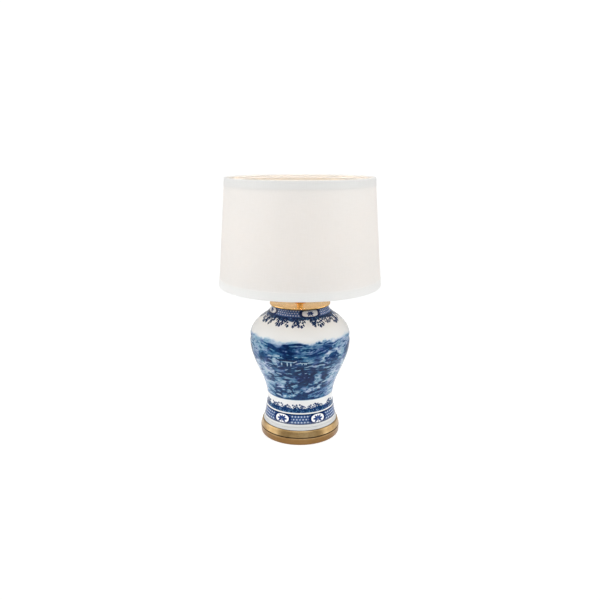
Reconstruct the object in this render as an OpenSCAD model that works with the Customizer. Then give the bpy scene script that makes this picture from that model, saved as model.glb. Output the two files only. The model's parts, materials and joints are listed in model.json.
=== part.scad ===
// Table lamp: glazed jar on a two-tier brass base, with a tapered drum shade
// held on a threaded lampholder. Millimetres, +Z up, origin on the floor
// under the middle of the lamp, back of the lamp towards +Y.

/* [Shade] */
// Outer diameter of the shade at its bottom edge
shade_bottom_d = 400; // [380:1:420]
// Outer diameter of the shade at its top edge
shade_top_d = 362; // [340:1:372]
// Height of the shade
shade_h = 260; // [230:1:280]
// Height of the shade's bottom edge above the floor
shade_z = 390; // [380:1:395]
// Height of the cloth tape that binds each edge
tape_h = 20; // [12:1:26]
// Number of arms on the shade's frame
arm_count = 3; // [3:1:4]

/* [Jar] */
// Largest diameter of the jar
belly_d = 257; // [245:1:265]
// Diameter of the waist above the foot
waist_d = 173.6; // [166:1:178]
// Diameter of the foot
foot_d = 189; // [184:1:192]
// Diameter of the neck
neck_d = 148.6; // [140:1:150]
// Thickness of the jar's wall
wall = 5; // [4:0.5:8]

/* [Base] */
// Diameter of both tiers of the base
base_d = 203; // [198:1:210]
// Height of the top of the lower tier
foot_top = 19.2; // [17:0.1:22]
// Height of the top of the upper tier
step_top = 36; // [34.5:0.1:38]
// Thickness of the felt under the base
felt_t = 1.2; // [1:0.1:2]

/* [Column] */
// Outer diameter of the hollow threaded rod
rod_d = 9.8; // [9:0.1:10]
// Bore of the threaded rod
rod_bore = 7; // [6:0.1:7.5]
// Outer diameter of the riser tube
riser_d = 16; // [14:0.5:18]
// Height of the top of the riser tube
riser_top = 396; // [390:1:398]

/* [Lampholder] */
// Diameter over the lampholder's outer thread
thread_d = 39.2; // [38.6:0.1:39.4]
// Pitch of the outer thread's ridges
thread_pitch = 2.5; // [2:0.1:3]
// Bore of the ring in the shade's frame
frame_bore = 41; // [40.4:0.1:42]
// Length of the switch key beyond its bush
key_reach = 13; // [10:1:16]

/* [Bulb] */
// Largest diameter of the candle bulb
bulb_d = 37; // [34:0.5:37]
// Height of the glass above the lampholder
bulb_glass_h = 80; // [70:1:86]

/* [Hidden] */
$fn = 128;

shade_top_z = shade_z + shade_h;
gasket_t = 1.2;
jar_z = step_top + gasket_t;
jar_top = 338.6;
cap_z = jar_top + 1;
cap_t = 3.4;
seat_t = 3;
rod_r = rod_d / 2;
rod_z = 3;
plate_t = 3;
base_rim_w = 6;
washer_t = 1.6;
nut_h = 5;
rod_clearance = 0.35;
rod_hole_r = rod_r + rod_clearance;
riser_z = cap_z + cap_t + seat_t;
cup_h = 22;
skirt_z = riser_top + cup_h;
skirt_h = 42;
rim_z = skirt_z + skirt_h;
rod_top = riser_top + 9;
thread_r = thread_d / 2;
thread_depth = 0.9;
ring_clearance = 0.15;
lower_ring_z = skirt_z + 16;
ring_h = 6;
frame_z = lower_ring_z + ring_h + 0.1;
frame_t = 2;
upper_ring_z = frame_z + frame_t + 0.1;
ring_bore_r = thread_r + ring_clearance;
ring_outer_r = 25.5;
frame_outer_r = 26.5;
wire_r = 2;
top_wire_r = 1.6;
liner_t = 0.6;
cloth_t = 0.7;
tape_t = 0.7;
glue_t = 0.06;
shell_r = 13.4;
shell_t = 0.4;
shell_gap = 0.12;
cap_crest_r = 13.05;
cap_pitch = 3.63;
weld = 0.6;
key_z = riser_top + 13;
bush_z = 8.2;
bush_bore = 3.2;
bush_r = 4.6;

// Radius of the shade's outer face at height z
function shade_r(z) =
    shade_bottom_d / 2
    + (shade_top_d - shade_bottom_d) / 2 * (z - shade_z) / shade_h;

wall_t = liner_t + cloth_t + tape_t;
bottom_wire_r = shade_r(shade_z + 3) - wall_t - wire_r - 0.2;

// Point at t along a Catmull-Rom curve from p1 to p2
function blend_point(p0, p1, p2, p3, t) =
    0.5 * (2 * p1 + (p2 - p0) * t
        + (2 * p0 - 5 * p1 + 4 * p2 - p3) * t * t
        + (3 * p1 - p0 - 3 * p2 + p3) * t * t * t);

// Smooth curve through every point of a list
function smooth(points, steps) = [
    for (i = [0 : len(points) - 2])
        for (s = [0 : steps - 1])
            blend_point(
                points[max(i - 1, 0)], points[i], points[i + 1],
                points[min(i + 2, len(points) - 1)], s / steps),
    points[len(points) - 1]
];

// Moves a curve sideways by a distance, towards the axis
function inset(curve, d) = [
    for (i = [0 : len(curve) - 1])
        let (
            a = curve[max(i - 1, 0)],
            b = curve[min(i + 1, len(curve) - 1)],
            along = (b - a) / norm(b - a)
        )
        curve[i] + d * [-along[1], along[0]]
];

function reversed(list) = [for (i = [len(list) - 1 : -1 : 0]) list[i]];

// Arc from angle a to angle b, as a list of points
function arc(centre, r, a, b, steps) = [
    for (s = [0 : steps])
        let (t = a + (b - a) * s / steps)
        centre + r * [cos(t), sin(t)]
];

// Outer face of the jar from its foot to its neck, as [radius, height]
jar_curve = smooth([
    [foot_d / 2, jar_z],
    [foot_d / 2 + 0.5, jar_z + 11],
    [foot_d / 2 - 3, jar_z + 29],
    [waist_d / 2 + 0.9, jar_z + 53],
    [waist_d / 2, jar_z + 71],
    [waist_d / 2 + 6.8, jar_z + 102],
    [belly_d / 2 - 18.4, jar_z + 143],
    [belly_d / 2 - 4.5, jar_z + 181],
    [belly_d / 2, jar_z + 215],
    [belly_d / 2 - 4.5, jar_z + 242],
    [belly_d / 2 - 21, jar_z + 264],
    [neck_d / 2 + 13.5, jar_z + 279.5],
    [neck_d / 2 + 2.2, jar_z + 289],
    [neck_d / 2, jar_z + 296],
    [neck_d / 2, jar_top]
], 3);

// Solid of revolution from a list of [radius, height]
module turned(points) {
    rotate_extrude() polygon(points);
}

// Flat ring
module ring(outer_r, inner_r, z, h) {
    translate([0, 0, z])
        difference() {
            cylinder(r = outer_r, h = h);
            translate([0, 0, -1]) cylinder(r = inner_r, h = h + 2);
        }
}

// Round wire bent into a ring
module wire_ring(ring_r, r, z) {
    translate([0, 0, z])
        rotate_extrude() translate([ring_r, 0]) circle(r = r, $fn = 32);
}

// Tapered band that follows the shade, between two depths below its outer face
module shade_band(z0, z1, depth0, depth1) {
    turned([
        [shade_r(z0) - depth1, z0], [shade_r(z0) - depth0, z0],
        [shade_r(z1) - depth0, z1], [shade_r(z1) - depth1, z1]
    ]);
}

module felt_pad() {
    color("darkolivegreen") cylinder(r = base_d / 2 - 5, h = felt_t);
}

module base_foot() {
    edge = 2.5;
    outer_r = base_d / 2;
    color("goldenrod")
        difference() {
            turned(concat(
                [[rod_hole_r, foot_top - plate_t],
                 [outer_r - base_rim_w, foot_top - plate_t],
                 [outer_r - base_rim_w, felt_t]],
                arc([outer_r - 1 - edge, felt_t + edge], edge, -90, 0, 6),
                arc([outer_r - edge, foot_top - edge], edge, 0, 90, 6),
                [[rod_hole_r, foot_top]]
            ));
            translate([0, 0, bush_z]) rotate([-90, 0, 0])
                cylinder(r = bush_r, h = base_d, $fn = 48);
        }
}

module base_step() {
    outer_r = base_d / 2;
    groove_w = 1.3;
    groove_depth = 2.6;
    groove_z = foot_top + groove_w;
    flank = smooth([
        [outer_r - 0.2, groove_z + 1],
        [outer_r - 1.3, groove_z + 4],
        [outer_r - 2.8, groove_z + 9],
        [outer_r - 4.4, step_top - 1.6],
        [outer_r - 5.6, step_top]
    ], 4);
    color("goldenrod")
        turned(concat(
            [[rod_hole_r, step_top - plate_t],
             [outer_r - base_rim_w - 6, step_top - plate_t],
             [outer_r - base_rim_w - 1, step_top - 9],
             [outer_r - base_rim_w - 1, foot_top],
             [outer_r - groove_depth, foot_top],
             [outer_r - groove_depth, groove_z],
             [outer_r - 0.7, groove_z]],
            flank,
            [[rod_hole_r, step_top]]
        ));
}

module cord_bush() {
    outer_r = base_d / 2;
    tail_w = base_rim_w + 2.8;
    color("saddlebrown")
        translate([0, 0, bush_z]) rotate([-90, 0, 0])
            difference() {
                union() {
                    translate([0, 0, outer_r - tail_w])
                        cylinder(r = bush_r, h = tail_w, $fn = 48);
                    translate([0, 0, outer_r - tail_w])
                        cylinder(r = bush_r + 1.4, h = 2, $fn = 48);
                    translate([0, 0, outer_r])
                        cylinder(r1 = bush_r + 1.6, r2 = bush_r + 0.6, h = 1.6, $fn = 48);
                }
                translate([0, 0, outer_r - tail_w - 1])
                    cylinder(r = bush_bore, h = tail_w + 4, $fn = 48);
            }
}

module clamp_nut() {
    color("silver")
        translate([0, 0, foot_top - plate_t - washer_t - nut_h])
            difference() {
                cylinder(r = 9.8, h = nut_h, $fn = 6);
                translate([0, 0, -1]) cylinder(r = rod_r, h = nut_h + 2);
            }
}

module clamp_washer() {
    color("silver")
        ring(15, rod_r + 0.25, foot_top - plate_t - washer_t, washer_t);
}

module threaded_rod() {
    color("silver") ring(rod_r, rod_bore / 2, rod_z, rod_top - rod_z);
}

module jar_gasket() {
    color("dimgray") ring(foot_d / 2 - 0.8, foot_d / 2 - 9, step_top, gasket_t);
}

module jar() {
    floor_t = 7;
    foot_recess = 3;
    foot_w = 9;
    inner = inset(jar_curve, wall);
    floor_z = jar_z + foot_recess + floor_t;
    hollow = [for (p = inner) if (p[1] > floor_z && p[1] < jar_top - 0.5) p];
    color("white")
        turned(concat(
            [[rod_r + 1.6, jar_z + foot_recess],
             [foot_d / 2 - foot_w, jar_z + foot_recess],
             [foot_d / 2 - foot_w, jar_z]],
            jar_curve,
            [[neck_d / 2 - wall, jar_top]],
            reversed(hollow),
            [[hollow[0][0], floor_z], [rod_r + 1.6, floor_z]]
        ));
}

module cap_gasket() {
    color("dimgray") ring(neck_d / 2 - 0.8, neck_d / 2 - 5.5, jar_top, cap_z - jar_top);
}

module neck_cap() {
    rim_r = neck_d / 2 + 1.5;
    plug_r = neck_d / 2 - wall - 0.5;
    edge = 1.2;
    color("goldenrod")
        turned(concat(
            [[rod_hole_r, cap_z], [plug_r - 2, cap_z], [plug_r - 2, cap_z - 9],
             [plug_r, cap_z - 9], [plug_r, cap_z]],
            arc([rim_r - edge, cap_z + edge], edge, -90, 0, 4),
            arc([rim_r - edge, cap_z + cap_t - edge], edge, 0, 90, 4),
            [[rod_hole_r, cap_z + cap_t]]
        ));
}

module seat_ring() {
    color("goldenrod")
        turned(concat(
            [[rod_hole_r, cap_z + cap_t]],
            [[13, cap_z + cap_t]],
            arc([13, cap_z + cap_t + seat_t / 2], seat_t / 2, -90, 90, 8),
            [[rod_hole_r, riser_z]]
        ));
}

module riser_tube() {
    color("goldenrod")
        ring(riser_d / 2, rod_hole_r, riser_z, riser_top - riser_z);
}

module holder_cup() {
    outer_r = thread_r - 0.4;
    color("goldenrod")
        difference() {
            turned(concat(
                [[rod_hole_r, riser_top], [riser_d / 2 + 1, riser_top]],
                arc([outer_r - 8, riser_top + 8], 8, -60, 0, 6),
                [[outer_r, skirt_z - 3], [outer_r + 1.4, skirt_z - 2.4],
                 [outer_r + 1.4, skirt_z], [outer_r - 1.2, skirt_z],
                 [outer_r - 1.2, riser_top + 9], [rod_r + 4, riser_top + 5],
                 [rod_r + 3, riser_top + 9.2], [rod_hole_r, riser_top + 9.2]]
            ));
            translate([0, 0, key_z]) rotate([0, 90, 0])
                cylinder(r = 3.6, h = 40, $fn = 48);
            translate([0, 0, riser_top + 2.6]) rotate([90, 0, 0])
                cylinder(r = 1.5, h = 40, $fn = 32);
        }
}

module grub_screw() {
    color("gray")
        translate([0, 0, riser_top + 2.6]) rotate([90, 0, 0])
            difference() {
                translate([0, 0, rod_r + 0.05]) cylinder(r = 1.4, h = 5.2, $fn = 32);
                translate([0, 0, rod_r + 3.8]) cube([0.6, 4, 3.2], center = true);
            }
}

module holder_skirt() {
    ridges = floor((skirt_h - 6) / thread_pitch);
    thread_z = skirt_z + 3;
    inner_r = thread_r - thread_depth - 1.4;
    color("ivory")
        turned(concat(
            [[inner_r, skirt_z], [thread_r - thread_depth, skirt_z]],
            [for (i = [0 : ridges - 1])
                for (p = [[thread_r - thread_depth, 0], [thread_r, 0.35],
                          [thread_r, 0.65], [thread_r - thread_depth, 1]])
                    [p[0], thread_z + (i + p[1] * 0.9) * thread_pitch]],
            [[thread_r - thread_depth, rim_z - 1], [thread_r - thread_depth - 0.6, rim_z],
             [inner_r, rim_z]]
        ));
}

module holder_insert() {
    outer_r = thread_r - thread_depth - 1.4;
    bore_r = shell_r + shell_t + shell_gap;
    well_z = rim_z - 31;
    color("whitesmoke")
        difference() {
            turned([
                [0, well_z - 7], [outer_r - 1.5, well_z - 7],
                [outer_r - 1.5, skirt_z], [outer_r, skirt_z], [outer_r, rim_z - 1.5],
                [bore_r, rim_z - 1.5], [bore_r, well_z], [0, well_z]
            ]);
            for (side = [-1, 1])
                translate([side * 10.5, 0, well_z - 8])
                    cylinder(r = 1.6, h = 7.4, $fn = 32);
            translate([0, 0, well_z - 8])
                cylinder(r = 1.6, h = 9, $fn = 32);
        }
}

module screw_shell() {
    rolls = 5;
    roll_z = rim_z - 4.5 - rolls * cap_pitch;
    color("gold")
        ring(shell_r + shell_t, shell_r, rim_z - 27, 25.2);
    color("gold")
        for (i = [0 : rolls - 1])
            wire_ring(shell_r + 0.28, 0.16, roll_z + i * cap_pitch);
}

module centre_contact() {
    well_z = rim_z - 31;
    color("gold")
        difference() {
            union() {
                translate([0, 0, well_z]) cylinder(r = 4.5, h = 0.6, $fn = 48);
                translate([0, 0, well_z + 0.6])
                    cylinder(r1 = 3.4, r2 = 2.2, h = 1.6, $fn = 48);
            }
            translate([0, 0, well_z - 1]) cylinder(r = 1.6, h = 1.7, $fn = 32);
        }
}

module contact_rivet() {
    well_z = rim_z - 31;
    color("silver") {
        translate([0, 0, well_z - 8.4]) cylinder(r = 3, h = 1.4, $fn = 32);
        translate([0, 0, well_z - 7.2]) cylinder(r = 1.6, h = 7.8, $fn = 32);
    }
}

module terminal_screws() {
    well_z = rim_z - 31;
    color("gold")
        for (side = [-1, 1])
            translate([side * 10.5, 0, 0])
                difference() {
                    union() {
                        translate([0, 0, well_z - 9.2]) cylinder(r = 2.8, h = 2.2, $fn = 32);
                        translate([0, 0, well_z - 7.2]) cylinder(r = 1.6, h = 6.4, $fn = 32);
                    }
                    translate([0, 0, well_z - 9.2]) cube([0.8, 8, 1.6], center = true);
                }
}

module switch_bush() {
    inner_x = thread_r - 6;
    color("goldenrod")
        translate([0, 0, key_z]) rotate([0, 90, 0])
            difference() {
                union() {
                    translate([0, 0, inner_x]) cylinder(r = 3.6, h = 12, $fn = 48);
                    translate([0, 0, thread_r - 0.4]) cylinder(r = 5, h = 2, $fn = 48);
                }
                translate([0, 0, inner_x - 1]) cylinder(r = 1.7, h = 16, $fn = 32);
            }
}

module switch_spindle() {
    color("silver")
        translate([0, 0, key_z]) rotate([0, 90, 0])
            translate([0, 0, thread_r - 9]) cylinder(r = 1.6, h = 17, $fn = 32);
}

module switch_key() {
    start_x = thread_r + 6.4;
    flute_count = 10;
    color("saddlebrown")
        translate([start_x, 0, key_z]) rotate([0, 90, 0])
            difference() {
                union() {
                    cylinder(r = 5.2, h = key_reach, $fn = 64);
                    translate([0, 0, key_reach]) cylinder(r1 = 5.2, r2 = 4.2, h = 1.2, $fn = 64);
                }
                translate([0, 0, -1]) cylinder(r = 1.6, h = 2.6, $fn = 32);
                for (i = [0 : flute_count - 1])
                    rotate([0, 0, i * 360 / flute_count])
                        translate([5.9, 0, 2.4]) cylinder(r = 1.2, h = key_reach, $fn = 24);
            }
}

// Threaded ring with ribs round its edge
module ribbed_ring(z) {
    rib_count = 24;
    color("ivory") {
        ring(ring_outer_r - 0.8, ring_bore_r, z, ring_h);
        for (i = [0 : rib_count - 1])
            rotate([0, 0, i * 360 / rib_count])
                translate([ring_outer_r - 1.1, 0, z])
                    cylinder(r = 1.1, h = ring_h, $fn = 24);
    }
}

module lower_ring() {
    ribbed_ring(lower_ring_z);
}

module upper_ring() {
    ribbed_ring(upper_ring_z);
}

module frame_ring() {
    color("whitesmoke")
        ring(frame_outer_r, frame_bore / 2, frame_z, frame_t);
}

module frame_arms() {
    arm_r = 1.8;
    start_r = frame_outer_r - weld;
    start_z = frame_z + arm_r;
    end_r = bottom_wire_r - wire_r + weld;
    end_z = shade_z + 3;
    arm_len = norm([end_r - start_r, end_z - start_z]);
    tilt = atan2(end_z - start_z, end_r - start_r);
    color("whitesmoke")
        for (i = [0 : arm_count - 1])
            rotate([0, 0, 90 + i * 360 / arm_count])
                translate([start_r, 0, start_z])
                    rotate([0, 90 - tilt, 0]) cylinder(r = arm_r, h = arm_len, $fn = 32);
}

module bottom_wire() {
    color("whitesmoke")
        wire_ring(bottom_wire_r, wire_r, shade_z + 3);
}

module top_wire() {
    color("whitesmoke")
        wire_ring(
            shade_r(shade_top_z - 3) - wall_t - top_wire_r - 0.2,
            top_wire_r, shade_top_z - 3);
}

module shade_liner() {
    color("linen")
        shade_band(shade_z + 0.8, shade_top_z - 0.8, tape_t + cloth_t, wall_t);
}

module shade_fabric() {
    color("white")
        shade_band(shade_z + 0.8, shade_top_z - 0.8, tape_t, tape_t + cloth_t);
}

module top_tape() {
    color("white") shade_band(shade_top_z - tape_h, shade_top_z, 0, tape_t - glue_t);
}

module bottom_tape() {
    color("white") shade_band(shade_z, shade_z + tape_h, 0, tape_t - glue_t);
}

module shade_seam() {
    seam_deg = 3.6;
    z0 = shade_z + tape_h + 0.2;
    z1 = shade_top_z - tape_h - 0.2;
    color("white")
        rotate([0, 0, 90 - seam_deg / 2])
            rotate_extrude(angle = seam_deg)
                polygon([
                    [shade_r(z0) - tape_t + glue_t, z0], [shade_r(z0), z0],
                    [shade_r(z1), z1], [shade_r(z1) - tape_t + glue_t, z1]
                ]);
}

// Outer face of the bulb's glass, as [radius, height]
glass_curve = smooth([
    [12.2, rim_z + 0.6],
    [13.6, rim_z + bulb_glass_h * 0.08],
    [16.9, rim_z + bulb_glass_h * 0.2],
    [bulb_d / 2, rim_z + bulb_glass_h * 0.38],
    [16.6, rim_z + bulb_glass_h * 0.6],
    [11.0, rim_z + bulb_glass_h * 0.82],
    [4.2, rim_z + bulb_glass_h * 0.965]
], 5);

module bulb_glass() {
    glass_t = 0.9;
    tip_z = rim_z + bulb_glass_h;
    inner = inset(glass_curve, glass_t);
    color("white")
        turned(concat(
            glass_curve,
            [[0, tip_z], [0, tip_z - glass_t]],
            reversed(inner)
        ));
}

module bulb_cap() {
    rolls = 6;
    roll_z = rim_z - 2 - rolls * cap_pitch;
    root_r = cap_crest_r - 0.9;
    color("silver")
        turned(concat(
            [[root_r - 0.5, roll_z - 0.8], [root_r, roll_z - 0.8]],
            [for (i = [0 : rolls - 1])
                for (p = [[root_r, 0], [cap_crest_r - 0.15, 0.3], [cap_crest_r, 0.5],
                          [cap_crest_r - 0.15, 0.7], [root_r, 1]])
                    [p[0], roll_z + (i + p[1] * 0.92) * cap_pitch]],
            [[root_r, rim_z - 1], [cap_crest_r, rim_z + 0.6], [cap_crest_r, rim_z + 2.2],
             [cap_crest_r - 0.4, rim_z + 2.2], [cap_crest_r - 0.4, rim_z + 0.6], [root_r - 0.5, rim_z - 1]]
        ));
}

module bulb_insulator() {
    base_z = rim_z - 2 - 6 * cap_pitch - 0.8;
    color("black")
        turned([
            [4.2, base_z - 3], [cap_crest_r - 1.4, base_z],
            [cap_crest_r - 1.4, base_z + 2], [4.2, base_z + 2]
        ]);
}

module bulb_contact() {
    base_z = rim_z - 2 - 6 * cap_pitch - 0.8;
    color("silver")
        turned([
            [0, base_z - 4], [2.2, base_z - 4], [4.2, base_z - 3],
            [4.2, base_z + 1], [0, base_z + 1]
        ]);
}

module bulb_stem() {
    color("lightgray")
        turned([
            [0, rim_z - 4], [8, rim_z - 4], [7.4, rim_z + 3], [3.4, rim_z + 9],
            [2.2, rim_z + 22], [0, rim_z + 22]
        ]);
}

module bulb_filaments() {
    filament_count = 4;
    color("gold")
        for (i = [0 : filament_count - 1])
            rotate([0, 0, i * 360 / filament_count])
                translate([4.6, 0, rim_z + 16])
                    rotate([0, 6, 0]) cylinder(r = 0.9, h = 36, $fn = 24);
}

felt_pad();
base_foot();
base_step();
cord_bush();
clamp_nut();
clamp_washer();
threaded_rod();
jar_gasket();
jar();
cap_gasket();
neck_cap();
seat_ring();
riser_tube();
holder_cup();
grub_screw();
holder_skirt();
holder_insert();
screw_shell();
centre_contact();
contact_rivet();
terminal_screws();
switch_bush();
switch_spindle();
switch_key();
lower_ring();
upper_ring();
frame_ring();
frame_arms();
bottom_wire();
top_wire();
shade_liner();
shade_fabric();
top_tape();
bottom_tape();
shade_seam();
bulb_glass();
bulb_cap();
bulb_insulator();
bulb_contact();
bulb_stem();
bulb_filaments();
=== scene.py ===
import json
import math

import bmesh
import bpy
import numpy as np
from mathutils import Matrix, Vector


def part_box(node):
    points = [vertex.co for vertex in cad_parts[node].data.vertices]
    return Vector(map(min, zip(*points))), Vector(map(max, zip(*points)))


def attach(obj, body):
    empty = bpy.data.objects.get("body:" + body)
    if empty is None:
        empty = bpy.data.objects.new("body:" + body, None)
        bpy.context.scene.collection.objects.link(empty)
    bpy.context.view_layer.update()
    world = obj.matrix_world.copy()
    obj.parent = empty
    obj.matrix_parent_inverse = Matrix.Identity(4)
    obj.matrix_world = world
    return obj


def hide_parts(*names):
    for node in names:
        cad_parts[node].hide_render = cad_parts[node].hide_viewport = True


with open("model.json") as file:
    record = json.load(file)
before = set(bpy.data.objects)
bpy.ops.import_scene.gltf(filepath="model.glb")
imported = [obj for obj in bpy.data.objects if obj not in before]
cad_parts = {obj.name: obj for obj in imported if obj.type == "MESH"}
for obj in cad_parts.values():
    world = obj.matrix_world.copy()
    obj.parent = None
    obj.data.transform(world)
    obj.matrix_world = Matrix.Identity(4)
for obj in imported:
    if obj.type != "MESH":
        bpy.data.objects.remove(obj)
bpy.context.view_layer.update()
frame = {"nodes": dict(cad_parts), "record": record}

MM = 0.001
FULL_TURN = 2 * math.pi
BACK = math.pi / 2

# the four most used kinds of node, and the settings of a mix of two colours
MATH, MIX = "ShaderNodeMath", "ShaderNodeMix"
RANGE, RAMP = "ShaderNodeMapRange", "ShaderNodeValToRGB"
COLOURS = {"data_type": "RGBA", "out": 2}


# ---------------------------------------------------------------- helpers

def linear(hex_colour):
    """An sRGB hex colour as linear red, green, blue and alpha."""
    channels = [int(hex_colour[i:i + 2], 16) / 255 for i in (1, 3, 5)]
    return tuple(c / 12.92 if c <= 0.04045 else ((c + 0.055) / 1.055) ** 2.4 for c in channels) + (1.0,)


def add(tree, kind, *inputs, out=0, stops=(), **settings):
    """Adds a node and returns one of its outputs, or the node itself where out is None.
    Inputs are values or links, in order or as one dict by name or place; stops are a colour ramp's
    (place, hex colour) pairs; the rest are the node's own settings."""
    node = tree.nodes.new(kind)
    for name, value in settings.items():
        setattr(node, name, value)
    for k, (position, colour) in enumerate(stops):
        elements = node.color_ramp.elements
        element = elements[k] if k < len(elements) else elements.new(1.0)
        element.position, element.color = position, linear(colour)
    given = inputs[0] if inputs and isinstance(inputs[0], dict) else dict(enumerate(inputs))
    for key, value in given.items():
        if isinstance(value, bpy.types.NodeSocket):
            tree.links.new(value, node.inputs[key])
        else:
            node.inputs[key].default_value = value
    return node if out is None or not node.outputs else node.outputs[out]


def new_material(name):
    """An empty material and its node tree."""
    material = bpy.data.materials.new(name)
    material.use_nodes = True
    material.node_tree.nodes.clear()
    return material, material.node_tree


def surface(tree, sockets):
    """A Principled shader with these sockets, wired to the output."""
    add(tree, "ShaderNodeOutputMaterial", {0: add(tree, "ShaderNodeBsdfPrincipled", sockets)})


def speckle(tree, vector, size_mm, detail=3.0, stretch=(1, 1, 1)):
    """Noise whose blotches are about size_mm across, stretched along the axes."""
    scaled = add(tree, "ShaderNodeMapping", {"Vector": vector, "Scale": tuple(1 / s for s in stretch)})
    return add(tree, "ShaderNodeTexNoise", {
        "Vector": scaled, "Scale": 1 / (size_mm * MM), "Detail": detail, "Roughness": 0.55})


def between(tree, value, low, high):
    """1 where value lies between low and high."""
    return add(tree, MATH, {0: value, 1: (low + high) / 2, 2: (high - low) / 2}, operation="COMPARE")


# ---------------------------------------------------------------- meshes

def new_piece(name, vertices, faces, body, replaced, material, crease_deg=35):
    """A mesh piece in the row frame that rides on a body and stands for CAD nodes."""
    mesh = bpy.data.meshes.new(name)
    mesh.from_pydata([tuple(v) for v in vertices], [], [tuple(f) for f in faces])
    mesh.validate()
    piece = bpy.data.objects.new(name, mesh)
    bpy.context.scene.collection.objects.link(piece)
    dress(piece, body, replaced, material, crease_deg)
    return piece


def dress(piece, body, replaced, material, crease_deg=35):
    """Shading, material, body, replaced nodes and slot of a finished piece."""
    mesh = piece.data
    mesh.materials.clear()
    mesh.materials.append(material)
    mesh.polygons.foreach_set("use_smooth", [True] * len(mesh.polygons))
    mesh.set_sharp_from_angle(angle=math.radians(crease_deg))
    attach(piece, body)
    if replaced:
        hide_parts(*replaced)


def catmull(points, count):
    """count points, evenly spaced, on a smooth curve through points."""
    points = np.asarray(points, float)
    lengths = np.concatenate([[0], np.cumsum(np.hypot(*np.diff(points, axis=0).T))])
    padded = np.vstack([2 * points[0] - points[1], points, 2 * points[-1] - points[-2]])
    places = np.linspace(0, lengths[-1], count)
    found = []
    for s in places:
        i = min(np.searchsorted(lengths, s, side="right") - 1, len(points) - 2)
        t = (s - lengths[i]) / (lengths[i + 1] - lengths[i])
        p0, p1, p2, p3 = padded[i:i + 4]
        found.append(0.5 * (2 * p1 + (p2 - p0) * t + (2 * p0 - 5 * p1 + 4 * p2 - p3) * t * t
                            + (3 * p1 - p0 - 3 * p2 + p3) * t ** 3))
    return np.array(found)


def filleted(outline, radius, steps=4):
    """A closed outline with each corner rounded to radius, or less where its sides are short."""
    outline = [np.array(p, float) for p in outline]
    found = []
    for before, corner, after in zip([outline[-1]] + outline[:-1], outline, outline[1:] + [outline[0]]):
        a, b = before - corner, after - corner
        la, lb = np.linalg.norm(a), np.linalg.norm(b)
        a, b = a / la, b / lb
        half = math.acos(max(-1, min(1, float(a @ b)))) / 2
        if corner[0] < 1e-9 or half > math.radians(85):
            found.append(corner)
            continue
        reach = min(radius / math.tan(half), 0.45 * la, 0.45 * lb)
        for k in range(steps + 1):
            t = k / steps
            found.append(corner + a * reach * (1 - t) ** 2 + b * reach * t ** 2)
    return found


def turned(name, outline, segments, body, replaced, material, shift=None, crease_deg=35):
    """A closed outline of (radius, height), anticlockwise with radius to the right, turned about Z.
    shift moves a vertex outwards by a length that depends on its angle and height."""
    outline = np.asarray(outline, float)
    angles = np.arange(segments) * FULL_TURN / segments
    vertices, rows = [], []
    for radius, height in outline:
        if radius < 1e-9:
            rows.append([len(vertices)] * segments)
            vertices.append((0, 0, height))
            continue
        reach = np.full(segments, radius) if shift is None else radius + shift(angles, height)
        rows.append(list(range(len(vertices), len(vertices) + segments)))
        vertices.extend(zip(reach * np.cos(angles), reach * np.sin(angles), np.full(segments, height)))
    faces = []
    for low, high in zip(rows, rows[1:] + rows[:1]):
        for j in range(segments):
            k = (j + 1) % segments
            ring = [low[j], low[k], high[k], high[j]]
            ring = [v for i, v in enumerate(ring) if v != ring[i - 1]]
            if len(ring) > 2:
                faces.append(ring)
    return new_piece(name, vertices, faces, body, replaced, material, crease_deg)


def eased(curve, reach):
    """Irons out small kinks of a dense curve by averaging each point with its neighbours; the ends stay."""
    weights = np.hanning(2 * reach + 3)[1:-1]
    weights /= weights.sum()
    ends = 2 * curve[0] - curve[reach:0:-1], 2 * curve[-1] - curve[-2:-reach - 2:-1]
    padded = np.vstack([ends[0], curve, ends[1]])
    return np.column_stack([np.convolve(column, weights, "valid") for column in padded.T])


def outer_profile(node):
    """The widest radius of a CAD node at each of its heights, from the bottom up, in metres."""
    mesh = frame["nodes"][node].data
    places = np.empty(len(mesh.vertices) * 3)
    mesh.vertices.foreach_get("co", places)
    places = places.reshape(-1, 3)
    heights = np.round(places[:, 2], 5)
    radii = np.hypot(places[:, 0], places[:, 1])
    return [(radii[heights == z].max(), z) for z in np.unique(heights)]


# ---------------------------------------------------------------- the jar's print

# heights on the jar, in mm from the lamp's underside, and the length of the landscape round the jar
FOOT_LINE = (51.4, 53.4)
LOWER_FRET = (53.4, 74.2)
FRINGE_LINE = (74.2, 77.2)
FRINGE_LOW = 80.4
PRINT_LOW, PRINT_HIGH = 115.5, 286.0
BORDER_HIGH = 321.4
NECK_LINE = (321.2, 322.6)
UPPER_FRET = (322.6, 338.6)
PRINT_ROUND = 740.0


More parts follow.
